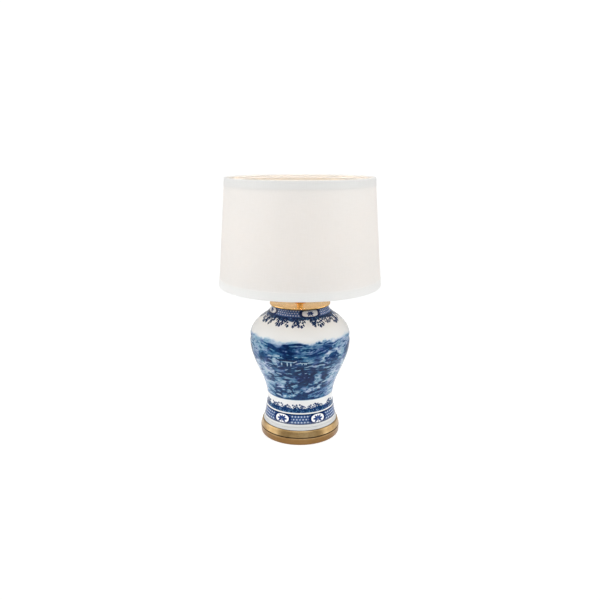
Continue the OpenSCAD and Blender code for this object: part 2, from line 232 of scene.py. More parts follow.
class Sheet:
    """A sheet of tones, 0 bare to 1 darkest, that wraps round the jar.
    Places are in mm: x round the jar, y up."""

    def __init__(self, width, height, step, seed):
        self.step = step
        self.shape = (int(height / step), int(width / step))
        self.size = (width, height)
        self.rng = np.random.default_rng(seed)
        self.tone = np.zeros(self.shape)
        self.y, self.x = np.meshgrid(
            np.arange(self.shape[0]) * step, np.arange(self.shape[1]) * step, indexing="ij")
        self.tear = self.mottle(9, 3.6)

    def mottle(self, long, tall):
        """Random blotches of that size, between about -2 and 2."""
        noise = np.fft.fft2(self.rng.standard_normal(self.shape))
        fy = np.fft.fftfreq(self.shape[0], self.step)[:, None]
        fx = np.fft.fftfreq(self.shape[1], self.step)[None, :]
        blurred = np.real(np.fft.ifft2(noise * np.exp(-2 * ((fx * long) ** 2 + (fy * tall) ** 2))))
        return blurred / blurred.std()

    def skyline(self, y, rise, long):
        """A wavy height for each column."""
        line = self.mottle(long, 4000)[0]
        fine = self.mottle(long / 4, 4000)[0]
        return y + rise * (0.75 * line + 0.3 * fine)

    def dab(self, x, y, long, tall, turn, tone, soft=0.25, torn=0.0):
        """One stroke of the brush: an ellipse of half sizes long and tall, turned by turn radians.
        soft is how far its edge fades, as a share of its size, and torn how ragged the edge is."""
        reach = int(max(long, tall) * (1 + 2 * torn) / self.step) + 2
        row, column = int(y / self.step), int(x / self.step)
        rows = np.arange(max(row - reach, 0), min(row + reach + 1, self.shape[0]))
        if not len(rows):
            return
        columns = np.arange(column - reach, column + reach + 1)
        dy = (rows * self.step - y)[:, None]
        dx = (columns * self.step - x)[None, :]
        a = dx * math.cos(turn) + dy * math.sin(turn)
        b = dy * math.cos(turn) - dx * math.sin(turn)
        place = np.ix_(rows, columns % self.shape[1])
        far = np.hypot(a / long, b / tall) + torn * self.tear[place]
        cover = np.clip((1 + soft - far) / soft, 0, 1)
        self.tone[place] += (tone - self.tone[place]) * cover

    def wash(self, cover, tone):
        """Lays a tone over the sheet, by a cover from 0 to 1."""
        cover = np.clip(cover, 0, 1)
        self.tone += (tone - self.tone) * cover


def paint_hills(sheet):
    """Pale far hills, then a middle range, then low dark ridges with a lit line under each crest."""
    sheet.wash((sheet.skyline(163, 3.4, 40) - sheet.y) / 7, 0.30 + 0.05 * sheet.mottle(18, 6))
    sheet.wash((sheet.skyline(155, 3.6, 26) - sheet.y) / 4, 0.50 + 0.09 * sheet.mottle(16, 5))
    for k in range(12):
        x = (k + sheet.rng.uniform(-0.3, 0.3)) * sheet.size[0] / 12
        paint_ridge(
            sheet, x, 144 + sheet.rng.uniform(-4, 4), sheet.rng.uniform(12, 22),
            sheet.rng.uniform(-0.15, 0.15))


def paint_ridge(sheet, x, y, half, turn=0.0, dark=0.9):
    """A low dark arch over its own paler foot."""
    sheet.dab(x, y - 5, half * 1.2, 5, turn, 0.60, 0.9, 0.25)
    sheet.dab(x, y, half, 4.4, turn, dark, 0.6, 0.2)
    sheet.dab(x - half * 0.1, y + 0.6, half * 0.5, 0.8, turn, dark - 0.45, 0.8)


def paint_haze(sheet, x, y, long, tall, turn=0.0, tone=0.2):
    """Hazy open ground: a soft pale patch with a few level strokes across it."""
    sheet.dab(x, y, long, tall, turn, tone, 1.0, 0.30)
    for _ in range(int(long * 0.7)):
        px, py = x + sheet.rng.uniform(-0.9, 0.9) * long, y + sheet.rng.uniform(-0.9, 0.9) * tall
        sheet.dab(px, py, sheet.rng.uniform(2, 6), 0.8, turn + sheet.rng.normal(0, 0.2), tone + 0.4, 0.9)


def paint_water(sheet):
    """Long strokes, dark on a middle tone, that swing slowly up and down, with bare glints between them."""
    sheet.wash((145 - sheet.y) / 5, 0.76 + 0.15 * sheet.mottle(30, 10) + 0.04 * sheet.mottle(9, 3))
    for tones, thick, count in (((0.88, 1.0), (0.9, 2.6), 620), ((0.12, 0.45), (0.6, 1.2), 300)):
        for _ in range(count):
            x, y = sheet.rng.uniform(0, sheet.size[0]), sheet.rng.uniform(3, 136)
            turn = 0.22 * math.sin(x / 26 + y / 17) + sheet.rng.normal(0, 0.06)
            sheet.dab(
                x, y, sheet.rng.uniform(4, 13), sheet.rng.uniform(*thick), turn, sheet.rng.uniform(*tones),
                0.7)


def paint_tree(sheet, x, y, tall, spread, dark=0.98):
    """A crooked trunk under pads of leaves, lit along their tops."""
    lean = sheet.rng.uniform(-0.25, 0.25)
    for k in range(6):
        t = k / 5
        sheet.dab(x + lean * tall * t, y + tall * 0.75 * t, 1.8 - 0.8 * t, tall * 0.12, lean, dark)
    for _ in range(6):
        px = x + lean * tall * 0.6 + sheet.rng.normal(0, spread * 0.36)
        py = y + tall * sheet.rng.uniform(0.45, 1.0)
        pad = sheet.rng.uniform(0.20, 0.36) * spread
        sheet.dab(px, py, pad * 1.3, pad * 0.7, 0, dark, 0.8, 0.3)
        for _ in range(16):
            dx, dy = sheet.rng.normal(0, pad), sheet.rng.normal(0, pad * 0.5)
            sheet.dab(px + dx, py + dy, sheet.rng.uniform(1.8, 3.2), sheet.rng.uniform(1.2, 2.0),
                      sheet.rng.uniform(-0.7, 0.7), dark - abs(sheet.rng.normal(0, 0.06)), 0.6)
        dx, dy = sheet.rng.normal(0, pad), abs(sheet.rng.normal(0, pad * 0.5))
        sheet.dab(
            px + dx, py + dy, 2.4, 0.9, sheet.rng.uniform(-0.5, 0.5), sheet.rng.uniform(0.4, 0.65), 0.9)


def paint_house(sheet, x, y, wide):
    """An open pavilion: thin pale posts in deep shade, under a dark roof with lifted ends."""
    half, tall = wide / 2, 0.30 * wide
    sheet.dab(x, y + tall * 0.45, half, tall * 0.7, 0, 0.92, 0.5, 0.15)
    for k in range(3):
        post = x + (k - 1 + sheet.rng.uniform(-0.3, 0.3)) * half * 0.6
        sheet.dab(post, y + tall * 0.4, 0.9, tall * sheet.rng.uniform(0.3, 0.45), 0, 0.05, 0.8)
    sheet.dab(x, y + tall * 1.3, half * 1.25, tall * 0.32, 0, 1.0, 0.4)
    sheet.dab(x + half * 0.2, y + tall * 1.02, half * 0.9, 0.7, 0, 0.15, 0.8)
    for side in (-1, 1):
        sheet.dab(x + side * half * 1.22, y + tall * 1.42, half * 0.3, 1.2, side * 0.45, 0.98, 0.5)
        sheet.dab(x + side * half * 1.2, y + tall * 1.1, half * 0.25, 0.8, side * 0.45, 0.12, 0.8)


def paint_bank(sheet, x, y, wide, tall):
    """A rocky bank: a dark mass with lit upper edges and slanting strokes."""
    for _ in range(8):
        px, py = x + sheet.rng.uniform(-0.8, 0.8) * wide, y + sheet.rng.uniform(-0.5, 0.5) * tall
        sheet.dab(px, py, wide * sheet.rng.uniform(0.2, 0.4), tall * sheet.rng.uniform(0.3, 0.5),
                  sheet.rng.uniform(-0.35, 0.35), sheet.rng.uniform(0.85, 1.0), 0.5, 0.2)
    for _ in range(6):
        px, py = x + sheet.rng.uniform(-1, 1) * wide, y + sheet.rng.uniform(-0.3, 0.9) * tall
        turn = sheet.rng.uniform(-0.5, 0.5)
        sheet.dab(px, py, sheet.rng.uniform(3, 7), 0.8, turn, sheet.rng.uniform(0.2, 0.45), 0.8)


def painted_landscape():
    """A lakeside landscape in one blue: hills, water, pavilions, trees and banks, all the way round."""
    sheet = Sheet(PRINT_ROUND, PRINT_HIGH - PRINT_LOW, 0.75, seed=23)
    front = PRINT_ROUND / 2
    paint_hills(sheet)
    paint_water(sheet)
    apart, scene_wide, half_scene, blend = 247, 246.7, 123.3, 34
    between_scenes = 1.25 - np.abs((sheet.x - front) % scene_wide - half_scene) / blend
    haze = np.clip(0.85 + 0.25 * sheet.mottle(20, 7), 0, 1)
    sheet.wash(np.clip(between_scenes, 0, 1) * haze * 0.75, 0.26)
    for middle in (front, front + apart, front - apart):
        for side in (-1, 1):
            paint_ridge(sheet, middle + side * 88, 146, 20, side * 0.25, 0.74)
            paint_ridge(sheet, middle + side * 56, 133, 26, side * 0.28, 0.86)
            paint_haze(sheet, middle + side * 112, 136, 20, 12, side * 0.2, 0.34)
        paint_ridge(sheet, middle - 3, 147, 30, 0.0, 0.95)
        sheet.dab(middle - 3, 151, 20, 4.2, 0.0, 0.95, 0.5, 0.1)
        sheet.dab(middle - 8, 149, 15, 1.1, 0.05, 0.45, 0.9)
        paint_ridge(sheet, middle - 24, 136, 24, 0.0, 0.95)
        paint_haze(sheet, middle + 16, 140, 22, 5, 0.0, 0.48)
        paint_haze(sheet, middle + 48, 158, 24, 6, 0.1, 0.42)
        paint_haze(sheet, middle + 78, 118, 20, 9, 0.15, 0.14)
        paint_haze(sheet, middle - 52, 112, 8, 10, -0.3, 0.24)
        paint_haze(sheet, middle + 40, 62, 12, 10, 0.3, 0.34)
        paint_haze(sheet, middle - 50, 42, 26, 9, -0.05, 0.30)
        paint_haze(sheet, middle - 90, 82, 13, 12, -0.4, 0.22)
        paint_haze(sheet, middle + 96, 62, 12, 14, 0.2, 0.26)
        paint_bank(sheet, middle - 62, 94, 26, 7)
        paint_bank(sheet, middle + 4, 90, 40, 9)
        paint_bank(sheet, middle - 10, 74, 36, 7)
        paint_bank(sheet, middle + 70, 86, 24, 6)
        paint_tree(sheet, middle - 32, 112, 24, 17)
        paint_tree(sheet, middle + 80, 98, 24, 24, 0.84)
        paint_tree(sheet, middle - 96, 100, 30, 18, 0.8)
        paint_house(sheet, middle - 32, 100, 34)
        paint_house(sheet, middle + 10, 104, 14)
        paint_bank(sheet, middle - 66, 66, 26, 6)
        sheet.dab(middle + 19, 64, 15, 13, 0.2, 1.0, 0.7, 0.45)
        paint_tree(sheet, middle + 20, 44, 32, 22, 1.0)
        paint_tree(sheet, middle - 22, 14, 32, 15, 1.0)
        paint_bank(sheet, middle + 8, 12, 34, 9)
        sheet.dab(middle + 4, 5, 24, 6, 0.05, 0.92, 0.9, 0.4)
        paint_bank(sheet, middle + 52, 34, 26, 7)
        paint_haze(sheet, middle + 40, 27, 18, 2.6, 0.18, 0.14)
        paint_haze(sheet, middle + 66, 12, 24, 7, 0.1, 0.52)
        paint_haze(sheet, middle - 36, 8, 14, 2.2, 0.12, 0.16)
    edge = (sheet.skyline(160, 3.2, 46) + 0.8 * sheet.mottle(4, 3) - sheet.y) / 5
    sheet.tone *= np.clip(edge, 0, 1)
    return sheet


def jar_mesh(material):
    """The jar, with a close grid on its printed band and the painted tone at each point."""
    widest = outer_profile("jar")
    curve = eased(catmull(widest, 900), 22)
    heights = curve[:, 1] / MM
    lengths = np.concatenate([[0], np.cumsum(np.hypot(*np.diff(curve, axis=0).T))]) / MM
    print_low, print_high = np.interp([PRINT_LOW, PRINT_HIGH], heights, lengths)
    segments, row_step = 470, 1.42
    print_rows = int((print_high - print_low) / row_step)
    places = np.concatenate([
        np.linspace(0, print_low, 24, endpoint=False),
        np.linspace(print_low, print_high, print_rows, endpoint=False),
        np.linspace(print_high, lengths[-1], 22)])
    outer = np.column_stack(
        [np.interp(places, lengths, curve[:, 0]), np.interp(places, lengths, curve[:, 1])])
    lip, foot = outer[-1], outer[0]
    wall, floor_t, recess, foot_w = 5 * MM, 7 * MM, 3 * MM, 9 * MM
    rod_hole = 6.5 * MM
    inside = catmull(
        [
            (max(r - wall, rod_hole), z)
            for r, z in outer[::-1] if foot[1] + recess + floor_t < z < lip[1] - wall], 14)
    outline = np.vstack([
        [(rod_hole, foot[1] + recess), (foot[0] - foot_w, foot[1] + recess), (foot[0] - foot_w, foot[1])],
        outer,
        [(lip[0] - wall, lip[1])],
        inside,
        [(inside[-1][0], foot[1] + recess + floor_t), (rod_hole, foot[1] + recess + floor_t)]])
    angles = (np.arange(segments) / segments - 0.5) * FULL_TURN - BACK
    rows = len(outline)
    ring = np.stack([np.cos(angles), np.sin(angles)], axis=1)
    vertices = np.empty((rows, segments, 3))
    vertices[:, :, :2] = outline[:, None, :1] * ring[None]
    vertices[:, :, 2] = outline[:, 1:]
    index = np.arange(rows * segments).reshape(rows, segments)
    following = np.roll(index, -1, axis=1)
    above, above_following = np.roll(index, -1, axis=0), np.roll(following, -1, axis=0)
    faces = np.stack([index, following, above_following, above], axis=-1).reshape(-1, 4)
    piece = new_piece(
        "glazed_jar", vertices.reshape(-1, 3), faces, "lamp", ("jar",), material, 40)

    mesh = piece.data
    sheet = painted_landscape()
    tone = np.zeros((rows, segments))
    for row, (_, z) in enumerate(outline[:3 + len(outer)]):
        if row < 3 or not PRINT_LOW <= z / MM <= PRINT_HIGH:
            continue
        up = (np.interp(z / MM, heights, lengths) - print_low) * (sheet.size[1] / (print_high - print_low))
        y = min(up / sheet.step, sheet.shape[0] - 1.001)
        x = np.arange(segments) / segments * sheet.shape[1]
        i, j = int(y), x.astype(int)
        fy, fx = y - i, x - j
        following_j = (j + 1) % sheet.shape[1]
        tone[row] = ((sheet.tone[i, j] * (1 - fx) + sheet.tone[i, following_j] * fx) * (1 - fy)
                     + (sheet.tone[i + 1, j] * (1 - fx) + sheet.tone[i + 1, following_j] * fx) * fy)
    attribute = mesh.attributes.new("cobalt", "FLOAT", "POINT")
    attribute.data.foreach_set("value", tone.reshape(-1).astype(np.float32))

    corner = np.empty(len(mesh.loops), int)
    mesh.loops.foreach_get("vertex_index", corner)
    column, row = corner % segments, corner // segments
    turns = column / segments
    first = np.repeat(corner[::4] % segments, 4)
    turns = np.where((first == segments - 1) & (column == 0), 1.0, turns)
    uv = mesh.uv_layers.new(name="print")
    uv.data.foreach_set("uv", np.column_stack([turns, outline[row, 1]]).reshape(-1).astype(np.float32))


# ---------------------------------------------------------------- materials

COBALT_VIOLET = (
    (0.00, "#DFE0DF"), (0.16, "#C3CCDD"), (0.36, "#93A3C4"), (0.56, "#566F9E"), (0.76, "#223F74"),
    (1.0, "#081D4A"))
COBALT_TEAL = (
    (0.00, "#DFE0DF"), (0.16, "#C0D2DC"), (0.36, "#88AAC1"), (0.56, "#477A9F"), (0.76, "#1A4672"),
    (1.0, "#062148"))


def shape_group(name, leaves):
    """A node group that gives 1 on leaves and 0 off them, from a place in mm.
    Each leaf is (x, y, turn, half length, half width) in mm and radians."""
    tree = bpy.data.node_groups.new(name, "ShaderNodeTree")
    tree.interface.new_socket("Place", in_out="INPUT", socket_type="NodeSocketVector")
    tree.interface.new_socket("Cover", in_out="OUTPUT", socket_type="NodeSocketFloat")
    spot = add(tree, "NodeGroupInput")
    nearest = None
    for x, y, turn, long, wide in leaves:
        away = add(tree, "ShaderNodeVectorMath", {0: spot, 1: (x, y, 0)}, operation="SUBTRACT")
        away = add(tree, "ShaderNodeVectorRotate", {"Vector": away, "Angle": -turn}, rotation_type="Z_AXIS")
        away = add(tree, "ShaderNodeVectorMath", {
            0: away, 1: (1 / long, 1 / wide, 0)}, operation="MULTIPLY")
        far = add(tree, "ShaderNodeVectorMath", {0: away}, out="Value", operation="LENGTH")
        if nearest is not None:
            far = add(tree, MATH, {0: nearest, 1: far}, operation="MINIMUM")
        nearest = far
    add(tree, "NodeGroupOutput", {0: add(tree, RANGE, nearest, 0.9, 1.1, 1, 0)})
    return tree


def sprig_leaves():
    """A bowed stem 17 mm long, growing up, with paired leaves that get smaller to a flower at its tip."""
    leaves = []
    for k in range(6):
        t = k / 5
        x, y = 5.0 * t * t, 15.0 * t
        leaves.append((x, y, math.pi / 2 - 0.6 * t, 2.0, 0.5))
        side = 1 if k % 2 else -1
        lean = math.pi / 2 - 0.6 * t - side * 1.0
        reach = 2.9 - 0.9 * t
        leaves.append(
            (x + reach * math.cos(lean), y + reach * math.sin(lean), lean, 2.9 - 0.6 * t, 1.7 - 0.3 * t))
    leaves += [
        (6.6 + 1.7 * math.cos(a), 16.6 + 1.7 * math.sin(a), a, 1.5, 1.1) for a in (0.2, 1.5, 2.8, 4.1, 5.3)]
    return leaves


def palmate_leaves():
    """Seven pointed lobes that spread from one point, the middle ones longest."""
    lobes = []
    for k in range(7):
        angle = math.radians(-40 + k * 260 / 6)
        reach = 4.4 + 1.6 * abs(math.cos(angle))
        lobes.append(
            (reach * math.cos(angle), reach * 0.8 * math.sin(angle) - 1.0, angle, reach * 0.85, 2.0))
    lobes.append((0, -5.0, math.pi / 2, 3.4, 0.9))
    return lobes


SPRIG = shape_group("sprig", sprig_leaves())
PALMATE = shape_group("palmate_leaf", palmate_leaves())


def drawn(tree, shape, x, y, size=1.0):
    """One of the shapes above at x and y in mm, drawn at a size."""
    spot = add(tree, "ShaderNodeCombineXYZ", {0: x, 1: y})
    spot = add(tree, "ShaderNodeVectorMath", {0: spot, 3: 1 / size}, operation="SCALE")
    return add(tree, "ShaderNodeGroup", {"Place": spot}, node_tree=shape)


def row_of_sprigs(tree, turns, height, round_mm, count, shift, root, upward, size):
    """Sprigs side by side round the jar, every other one mirrored, rooted at a height."""
    pitch = round_mm / count
    across = add(tree, MATH, turns, float(count), shift, operation="MULTIPLY_ADD")
    cell = add(tree, MATH, across, operation="FLOOR")
    which = add(tree, MATH, cell, float(count), 0.0, operation="WRAP")
    whim = add(tree, "ShaderNodeTexWhiteNoise", {"W": which}, noise_dimensions="1D")
    sideways = add(tree, RANGE, whim, 0, 1, -1.0, -3.5)
    x = add(tree, MATH, add(tree, MATH, across, 1.0, operation="PINGPONG"), 0.5, operation="SUBTRACT")
    x = add(tree, MATH, x, pitch, sideways, operation="MULTIPLY_ADD")
    y = add(tree, MATH, height, root, operation="SUBTRACT")
    if not upward:
        y = add(tree, MATH, y, -1.0, operation="MULTIPLY")
    y = add(tree, MATH, whim, 3.0, y, operation="MULTIPLY_ADD")
    return drawn(tree, SPRIG, x, y, size)


def fretwork(tree, turns, height, low, pitch_mm, around, rows):
    """A trellis of thin lines with a lozenge in each opening, in level rows."""
    across = add(tree, MATH, turns, float(around), operation="MULTIPLY")
    up = add(tree, MATH, height, low, operation="SUBTRACT")
    up = add(tree, MATH, up, pitch_mm, operation="DIVIDE")
    row = add(tree, MATH, up, operation="FLOOR")
    shifted = add(tree, MATH, row, 0.5, across, operation="MULTIPLY_ADD")
    from_middle = []
    for counted in (shifted, up):
        part = add(tree, MATH, counted, operation="FRACT")
        off = add(tree, MATH, part, 0.5, operation="SUBTRACT")
        from_middle.append(add(tree, MATH, off, operation="ABSOLUTE"))
    far = add(tree, MATH, *from_middle, operation="ADD")
    lozenge = add(tree, RANGE, far, 0.24, 0.32, 1, 0)
    thread = add(tree, MATH, between(tree, far, 0.44, 0.54), 0.2, operation="MULTIPLY")
    marks = add(tree, MATH, lozenge, thread, operation="MAXIMUM")
    return add(tree, MATH, marks, between(tree, up, 0.0, rows), operation="MULTIPLY")


def reserve(tree, turns, height, count, offset, centre, half_wide, half_tall, round_mm, power):
    """How far from the middle of the nearest reserve, 1 at its edge, with its own x and y in mm."""
    across = add(tree, MATH, turns, count, offset, operation="MULTIPLY_ADD")
    across = add(tree, MATH, across, operation="FRACT")
    across = add(tree, MATH, across, 0.5, operation="SUBTRACT")
    x = add(tree, MATH, across, round_mm / count, operation="MULTIPLY")
    y = add(tree, MATH, height, centre, operation="SUBTRACT")
    terms = []
    for value, half in ((x, half_wide), (y, half_tall)):
        share = add(tree, MATH, value, half, operation="DIVIDE")
        share = add(tree, MATH, share, operation="ABSOLUTE")
        terms.append(add(tree, MATH, share, power, operation="POWER"))
    far = add(tree, MATH, *terms, operation="ADD")
    return add(tree, MATH, far, 1 / power, operation="POWER"), x, y


def glazed_print():
    """Slip-cast white stoneware with a cobalt print under a clear glaze, dipped and fired glossy.
    The glaze gives a hard, wet gloss over slightly blurred blues, and pools a little unevenly."""
    material, tree = new_material("glazed_stoneware_cobalt_print")
    sides = add(tree, "ShaderNodeSeparateXYZ", {0: add(tree, "ShaderNodeUVMap", uv_map="print")}, out=None)
    turns = sides.outputs[0]
    height = add(tree, MATH, sides.outputs[1], 1 / MM, operation="MULTIPLY")
    own = add(tree, "ShaderNodeTexCoord", out="Object")
    fine = speckle(tree, own, 2.2)
    broad = speckle(tree, own, 16)
    ragged = add(tree, RANGE, fine, 0.3, 0.7, -1, 1)
    swell = add(tree, RANGE, broad, 0.3, 0.7, -1, 1)

    # landscape: the painted tone, crossed by finer level strokes that bend with a slow ripple
    painted = add(tree, "ShaderNodeAttribute", out="Fac", attribute_name="cobalt")
    ripple = add(tree, RANGE, speckle(tree, own, 20, 1.0), 0.3, 0.7, -1, 1)
    ripple = add(tree, MATH, ripple, 3.0 * MM, operation="MULTIPLY")
    lift = add(tree, "ShaderNodeCombineXYZ", {2: ripple})
    bent = add(tree, "ShaderNodeVectorMath", {0: own, 1: lift}, operation="ADD")
    strokes = speckle(tree, bent, 2.0, 2.0, stretch=(5, 5, 1))
    dark = add(tree, RANGE, strokes, 0.54, 0.64, 0, 0.13)
    pale = add(tree, RANGE, strokes, 0.42, 0.34, 0, 0.11)
    inked = add(tree, RANGE, painted, 0.12, 0.4, 0, 1)
    streaks = add(tree, MATH, dark, pale, operation="SUBTRACT")
    tone = add(tree, MATH, streaks, inked, painted, operation="MULTIPLY_ADD")
    grain = add(tree, MATH, ragged, 0.05, operation="MULTIPLY")
    tone = add(tree, MATH, grain, inked, tone, operation="MULTIPLY_ADD")
    tone = add(tree, MIX, {0: between(tree, height, PRINT_LOW - 1.4, PRINT_LOW), 2: tone, 3: 0.85})

    # cloud border and hanging sprays below the neck
    wave = add(tree, MATH, add(tree, MATH, turns, 18 * FULL_TURN, operation="MULTIPLY"), operation="SINE")
    cloud = add(tree, MATH, wave, 1.3, height, operation="MULTIPLY_ADD")
    cloud = add(tree, MATH, swell, 3.2, cloud, operation="MULTIPLY_ADD")
    cloud = add(tree, MATH, ragged, 1.3, cloud, operation="MULTIPLY_ADD")
    clouded = add(tree, RANGE, cloud, 315.6, 316.4, 0, 1)
    border = add(tree, MATH, clouded, between(tree, height, 305, BORDER_HIGH), operation="MULTIPLY")
    tone = add(tree, MIX, {0: border, 2: tone, 3: add(tree, RANGE, fine, 0.40, 0.60, 0.96, 0.60)})
    for count, shift, root, size in (
            (22, 0.0, 320.5, 1.0), (26, 0.37, 321.0, 0.8), (18, 0.71, 319.5, 0.95), (30, 0.15, 322.0, 0.8)):
        sprig = row_of_sprigs(tree, turns, height, 528.0, count, shift, root, False, size)
        sprig = add(tree, MATH, sprig, between(tree, height, 300.0, BORDER_HIGH), operation="MULTIPLY")
        tone = add(tree, MIX, {0: sprig, 2: tone, 3: 0.97})

    # leaf fringe above the lower bands, growing out of dark ground with pale blades of grass
    rising = add(tree, MATH, ragged, 1.6, height, operation="MULTIPLY_ADD")
    rising = add(tree, MATH, swell, 2.4, rising, operation="MULTIPLY_ADD")
    ground = add(tree, RANGE, rising, 91.5, 92.5, 1, 0)
    ground = add(tree, MATH, ground, between(tree, height, FRINGE_LOW, 97), operation="MULTIPLY")
    leaning = add(tree, "ShaderNodeVectorRotate", {"Vector": own, "Angle": 0.5}, rotation_type="Y_AXIS")
    blades = speckle(tree, leaning, 1.5, 1.0, stretch=(1, 1, 7))
    ground_tone = add(tree, RANGE, blades, 0.46, 0.62, 0.95, 0.48)
    tone = add(tree, MIX, {0: ground, 2: tone, 3: ground_tone})
    for count, shift, root, size in (
            (22, 0.2, 87.0, 0.92), (28, 0.55, 86.0, 0.78), (18, 0.85, 87.0, 0.84), (34, 0.4, 85.5, 0.7)):
        sprig = row_of_sprigs(tree, turns, height, 546.0, count, shift, root, True, size)
        sprig = add(tree, MATH, sprig, between(tree, height, FRINGE_LOW, 104.0), operation="MULTIPLY")
        tone = add(tree, MIX, {0: sprig, 2: tone, 3: 0.92})

    # plain lines
    for line, line_tone in ((FRINGE_LINE, 0.97), (FOOT_LINE, 0.95), (NECK_LINE, 0.92)):
        tone = add(tree, MIX, {0: between(tree, height, *line), 2: tone, 3: line_tone})
    hue = add(tree, RANGE, speckle(tree, own, 24, 2.0), 0.32, 0.56, 0, 1)
    colour = add(tree, MIX, {
        0: hue, 6: add(tree, RAMP, tone, stops=COBALT_VIOLET),
        7: add(tree, RAMP, tone, stops=COBALT_TEAL)}, **COLOURS)

    # fretwork bands, in a greyer blue, with reserves
    navy, white = linear("#152A58"), linear("#EFF0F2")
    leaf_blue = add(tree, MIX, {
        0: add(tree, RANGE, fine, 0.4, 0.6, 0, 1), 6: linear("#1C3161"), 7: linear("#3A5288")}, **COLOURS)
    lower = between(tree, height, *LOWER_FRET)
    upper = between(tree, height, *UPPER_FRET)
    # the neck's band (second row) has lighter blues and paler marks than the foot's: painted light, for the
    # light that the shade's shadow takes off the neck
    for band, low, pitch, around, rows, deep, light, mark in (
            (lower, 53.6, 6.8, 72, 3.0, "#2A4572", "#365483", "#BAC7DA"),
            (upper, 323.3, 4.9, 70, 3.0, "#3F5E96", "#5272AB", "#DDE4F0")):
        ground = add(tree, MIX, {
            0: add(tree, RANGE, broad, 0.4, 0.6, 0, 1), 6: linear(deep), 7: linear(light)}, **COLOURS)
        marks = fretwork(tree, turns, height, low, pitch, around, rows)
        fret = add(tree, MIX, {0: marks, 6: ground, 7: linear(mark)}, **COLOURS)
        colour = add(tree, MIX, {0: band, 6: colour, 7: fret}, **COLOURS)
    for count, offset, centre, half_wide, half_tall, round_mm, power, size, band in (
            (6.0, 0.0, 63.9, 21.5, 11.8, 572.0, 2.3, 1.25, lower),
            (4.0, 0.278, 330.4, 24.0, 8.0, 468.0, 3.4, 0.84, upper)):
        far, x, y = reserve(
            tree, turns, height, count, offset, centre, half_wide, half_tall, round_mm, power)
        rim = add(tree, MATH, between(tree, far, 0.84, 1.16), band, operation="MULTIPLY")
        bare = add(tree, MATH, between(tree, far, -1, 0.86), band, operation="MULTIPLY")
        colour = add(tree, MIX, {0: rim, 6: colour, 7: navy}, **COLOURS)
        colour = add(tree, MIX, {0: bare, 6: colour, 7: white}, **COLOURS)
        leaf = add(tree, MATH, drawn(tree, PALMATE, x, y, size), bare, operation="MULTIPLY")
        colour = add(tree, MIX, {0: leaf, 6: colour, 7: leaf_blue}, **COLOURS)

    # painted shade: below 60 mm the white glaze is greyed, up to 40 % towards a mid grey, for the lower jar
    # that gets less light
    thin = add(tree, RANGE, height, 46.0, 60.0, 0.40, 0.0)
    colour = add(tree, MIX, {0: thin, 6: colour, 7: linear("#9C9C9A")}, **COLOURS)
    surface(tree, {
        "Base Color": colour, "Roughness": add(tree, RANGE, broad, 0.3, 0.7, 0.07, 0.13), "IOR": 1.45,
        "Specular IOR Level": 0.2,
        "Normal": add(tree, "ShaderNodeBump", {
            "Height": speckle(tree, own, 9, 1.0), "Distance": 0.06 * MM})})
    return material


def brushed_brass():
    """Spun brass, brushed round the lathe, toned and lacquered: warm, soft streaked highlights.
    The toning is left darker in the joint between the two tiers; low on the foot the colour is painted
    darker, as painted shade where the foot meets the floor."""
    material, tree = new_material("brushed_antique_brass")
    own = add(tree, "ShaderNodeTexCoord", out="Object")
    lines = speckle(tree, own, 9, 2.0, stretch=(1, 1, 0.06))
    cloud = speckle(tree, own, 26)
    tarnish = speckle(tree, own, 5, 4.0)
    colour = add(tree, RAMP, cloud, stops=((0.30, "#A08052"), (0.5, "#B29363"), (0.70, "#C1A577")))
    colour = add(tree, MIX, {
        0: add(tree, RANGE, tarnish, 0.56, 0.72, 0, 0.35), 6: colour, 7: linear("#7E5D36")}, **COLOURS)
    up = add(tree, "ShaderNodeSeparateXYZ", {0: own}, out="Z")
    # painted shade: below 21 mm the foot's colour is mixed towards a dark brown, for the shade low on the
    # foot near the floor
    colour = add(tree, MIX, {
        0: add(tree, RANGE, up, 14 * MM, 21 * MM, 0.9, 0.0), 6: colour, 7: linear("#7E5A2C")}, **COLOURS)
    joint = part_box("base_foot")[1][2] + 0.6 * MM
    off_joint = add(tree, MATH, add(tree, MATH, up, joint, operation="SUBTRACT"), operation="ABSOLUTE")
    colour = add(tree, MIX, {
        0: add(tree, RANGE, off_joint, 0.9 * MM, 2.2 * MM, 0.9, 0.0), 6: colour,
        7: linear("#33200F")}, **COLOURS)
    surface(tree, {
        "Base Color": colour,
        "Metallic": 1.0,
        "Coat Weight": 0.3, "Coat Roughness": 0.25,
        "Roughness": add(tree, RANGE, lines, 0.3, 0.7, 0.32, 0.46),
        "Normal": add(tree, "ShaderNodeBump", {"Height": lines, "Distance": 0.03 * MM})})
    return material


def polished_brass():
    """Spun brass, polished and lacquered: clear warm reflections with faint lathe lines."""
    material, tree = new_material("polished_brass")
    own = add(tree, "ShaderNodeTexCoord", out="Object")
    lines = speckle(tree, own, 7, 2.0, stretch=(1, 1, 0.05))
    cloud = speckle(tree, own, 30)
    colour = add(tree, RAMP, cloud, stops=((0.3, "#F2C681"), (0.7, "#FAD89A")))
    surface(tree, {
        "Base Color": colour,
        "Metallic": 1.0,
        "Roughness": add(tree, RANGE, lines, 0.3, 0.7, 0.16, 0.26),
        "Normal": add(tree, "ShaderNodeBump", {"Height": lines, "Distance": 0.01 * MM})})
    return material


